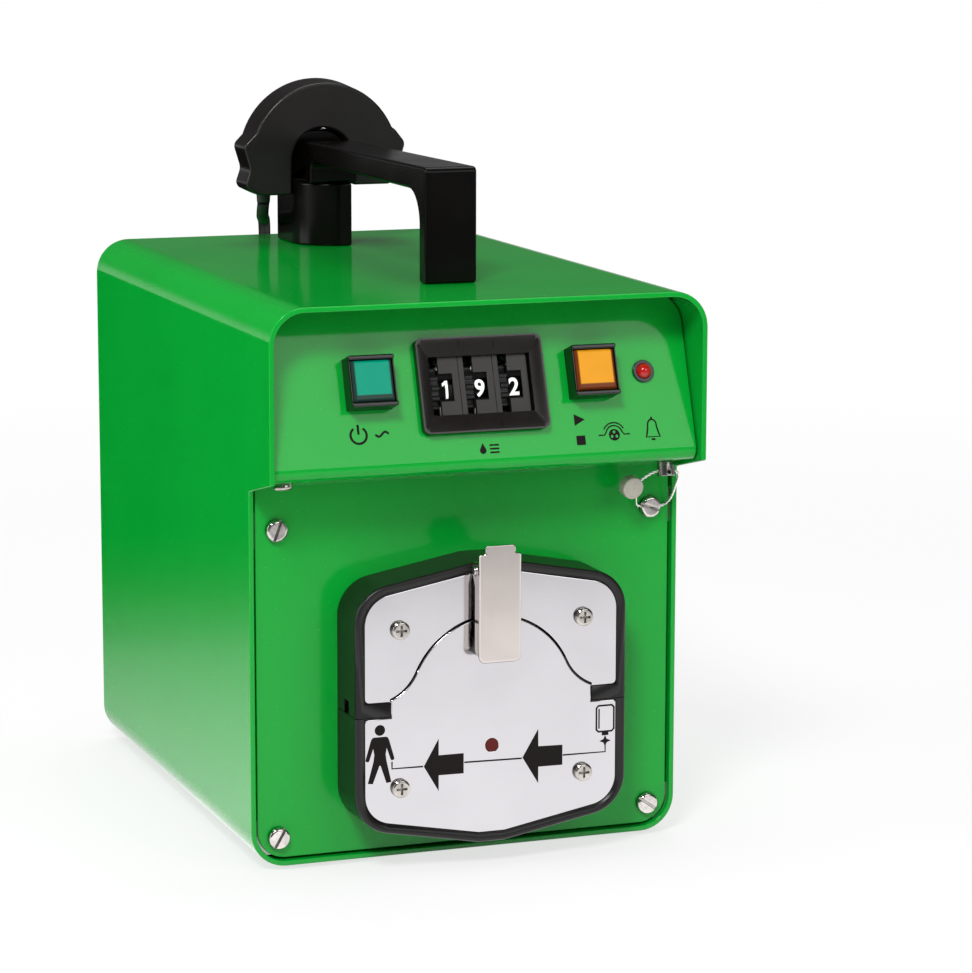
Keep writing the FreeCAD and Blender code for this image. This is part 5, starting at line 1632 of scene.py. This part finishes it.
@dataclass
class Internals(SubAssembly):
    """Drive, power supply and board, hidden behind the plates."""

    def build(self) -> None:
        """Dresses what the plates hide."""
        self.dressed(ALLOY, "bearing_housing", "gearbox")
        self.dressed(GROUND, "shaft_bearings")
        self.dressed(ZINC, "drive_motor", "board_pillars")
        self.dressed(CORE, "transformer_core")
        self.dressed(WINDING, "transformer_winding")
        self.dressed(BATTERY, "battery_block")
        self.dressed(BOARD, "main_board")


# --- Studio -------------------------------------------------------------------------------------
@dataclass(frozen=True)
class Softbox:
    """One soft lamp."""

    name: str
    place: RGB
    aim: RGB
    size: Pair
    power: float

    def hang(self) -> None:
        """Puts the lamp up, facing its aim."""
        lamp = bpy.data.lights.new(self.name, "AREA")
        lamp.shape = "RECTANGLE"
        lamp.size, lamp.size_y = self.size
        lamp.energy = self.power
        holder = bpy.data.objects.new(self.name, lamp)
        holder.location = self.place
        direction = Vector(self.aim) - Vector(self.place)
        holder.rotation_euler = direction.to_track_quat("-Z", "Y").to_euler()
        bpy.context.scene.collection.objects.link(holder)


@dataclass
class Studio:
    """Camera, lamps, floor and surroundings."""

    eye: RGB = (-0.52807, -1.56204, 0.43645)
    aim: RGB = (-0.00322, -0.14925, 0.17138)
    roll: float = math.radians(0.129)
    lens: float = 131.8
    sensor: float = 36.0
    floor_half: float = 4.0
    ambient: float = 0.27
    horizon: Pair = (-0.02, 0.12)
    room_light: Pair = (0.07, 0.5)
    cloth: float = 0.82
    near: Pair = (0.25, 1.4)
    shadow: float = 0.3
    fade_top: float = 1.4
    fade: tuple[Pair, ...] = (
        (-2.4, 0.2), (-1.6, 0.22), (-1.0, 0.26), (-0.76, 1.0), (-0.6, 1.17), (-0.3, 1.28),
        (-0.02, 1.33), (0.04, 1.16), (0.17, 0.83), (0.31, 0.49), (0.38, 0.26), (0.47, 0.10),
        (0.55, 0.03), (0.66, 0.0))

    def build(self) -> None:
        """Sets the studio up."""
        bpy.context.scene.view_settings.view_transform = "Standard"
        self.camera()
        for lamp in (Softbox("key", (-0.9, -1.5, 1.7), (0.0, 0.0, 0.12), (0.5, 0.5), 36.0),
                     Softbox("side", (-2.0, 0.35, 0.9), (0.0, 0.0, 0.12), (1.2, 1.2), 20.0),
                     Softbox("overhead", (0.2, 0.3, 1.7), (0.0, 0.05, 0.1), (1.2, 1.2), 14.0),
                     Softbox("fill", (0.52, -1.42, 0.86), (0.0, -0.12, 0.2), (0.9, 0.7), 4.8)):
            lamp.hang()
        self.surroundings()
        self.floor()

    def camera(self) -> None:
        """Places the camera."""
        data = bpy.data.cameras.new("camera")
        data.lens = self.lens
        data.sensor_width = self.sensor
        data.clip_end = 20.0
        holder = bpy.data.objects.new("camera", data)
        holder.location = self.eye
        look = (Vector(self.aim) - Vector(self.eye)).to_track_quat("-Z", "Y")
        holder.rotation_euler = (look @ Quaternion((0, 0, 1), self.roll)).to_euler()
        bpy.context.scene.collection.objects.link(holder)
        bpy.context.scene.camera = holder

    def surroundings(self) -> None:
        """White behind the pump, a dark room in mirrors above the table, and even light."""
        world = bpy.data.worlds.new("room")
        world.use_nodes = True
        bpy.context.scene.world = world
        recipe = Recipe(world.node_tree)
        camera, glossy, clear = recipe.rays()
        up = recipe.along("Z", recipe.node("ShaderNodeTexCoord", output="Generated"))
        room = (1.0 - up.between(*self.horizon)).spread(*self.room_light)
        strength = camera.larger(clear).larger(glossy * room).larger((1.0 - glossy) * self.ambient)
        recipe.end(recipe.node("ShaderNodeBackground", None,
                               {"Color": colour(grey(1.0)), "Strength": strength}))

    def floor(self) -> None:
        """A wide white table that keeps the pump's shadow and fades into the white behind."""
        form = bmesh.new()
        bmesh.ops.create_grid(form, x_segments=1, y_segments=1, size=self.floor_half)
        piece = blank("table", form)
        material = bpy.data.materials.new("white table")
        material.use_nodes = True
        recipe = Recipe(material.node_tree)
        camera, glossy, clear = recipe.rays()
        away = recipe.node("ShaderNodeVectorMath", {"operation": "LENGTH"}, {0: recipe.place()},
                           "Value")
        near = 1.0 - away.between(*self.near)
        first, last = self.fade[0][0], self.fade[-1][0]
        stops = [((place - first) / (last - first), grey(value / self.fade_top))
                 for place, value in self.fade]
        level = recipe.node("ShaderNodeValToRGB", {"stops": stops},
                            {"Fac": (recipe.along("Y") - first) / (last - first)})
        matt = recipe.node("ShaderNodeBsdfDiffuse", None, {"Color": colour(grey(self.cloth))})
        white = recipe.node("ShaderNodeEmission", None,
                            {"Color": colour(grey(1.0)), "Strength": 1.0})
        dim = recipe.node("ShaderNodeEmission", None, {"Color": level, "Strength": self.fade_top})
        seen = recipe.node("ShaderNodeMixShader", None,
                           {0: camera * (1.0 - near * self.shadow), 1: matt, 2: white})
        recipe.end(recipe.node("ShaderNodeMixShader", None,
                               {0: glossy.larger(clear), 1: seen, 2: dim}))
        piece.data.materials.append(material)


def main() -> None:
    """Builds the pump's looks in order and reports each piece."""
    logging.basicConfig(level=logging.INFO, format="%(message)s")
    for part in (Studio, SensorCable, Case, ControlPanel, PumpHead, Latch, Seal, Carrying,
                 RearFittings, Internals):
        part().build()


if __name__ == "__main__":
    main()
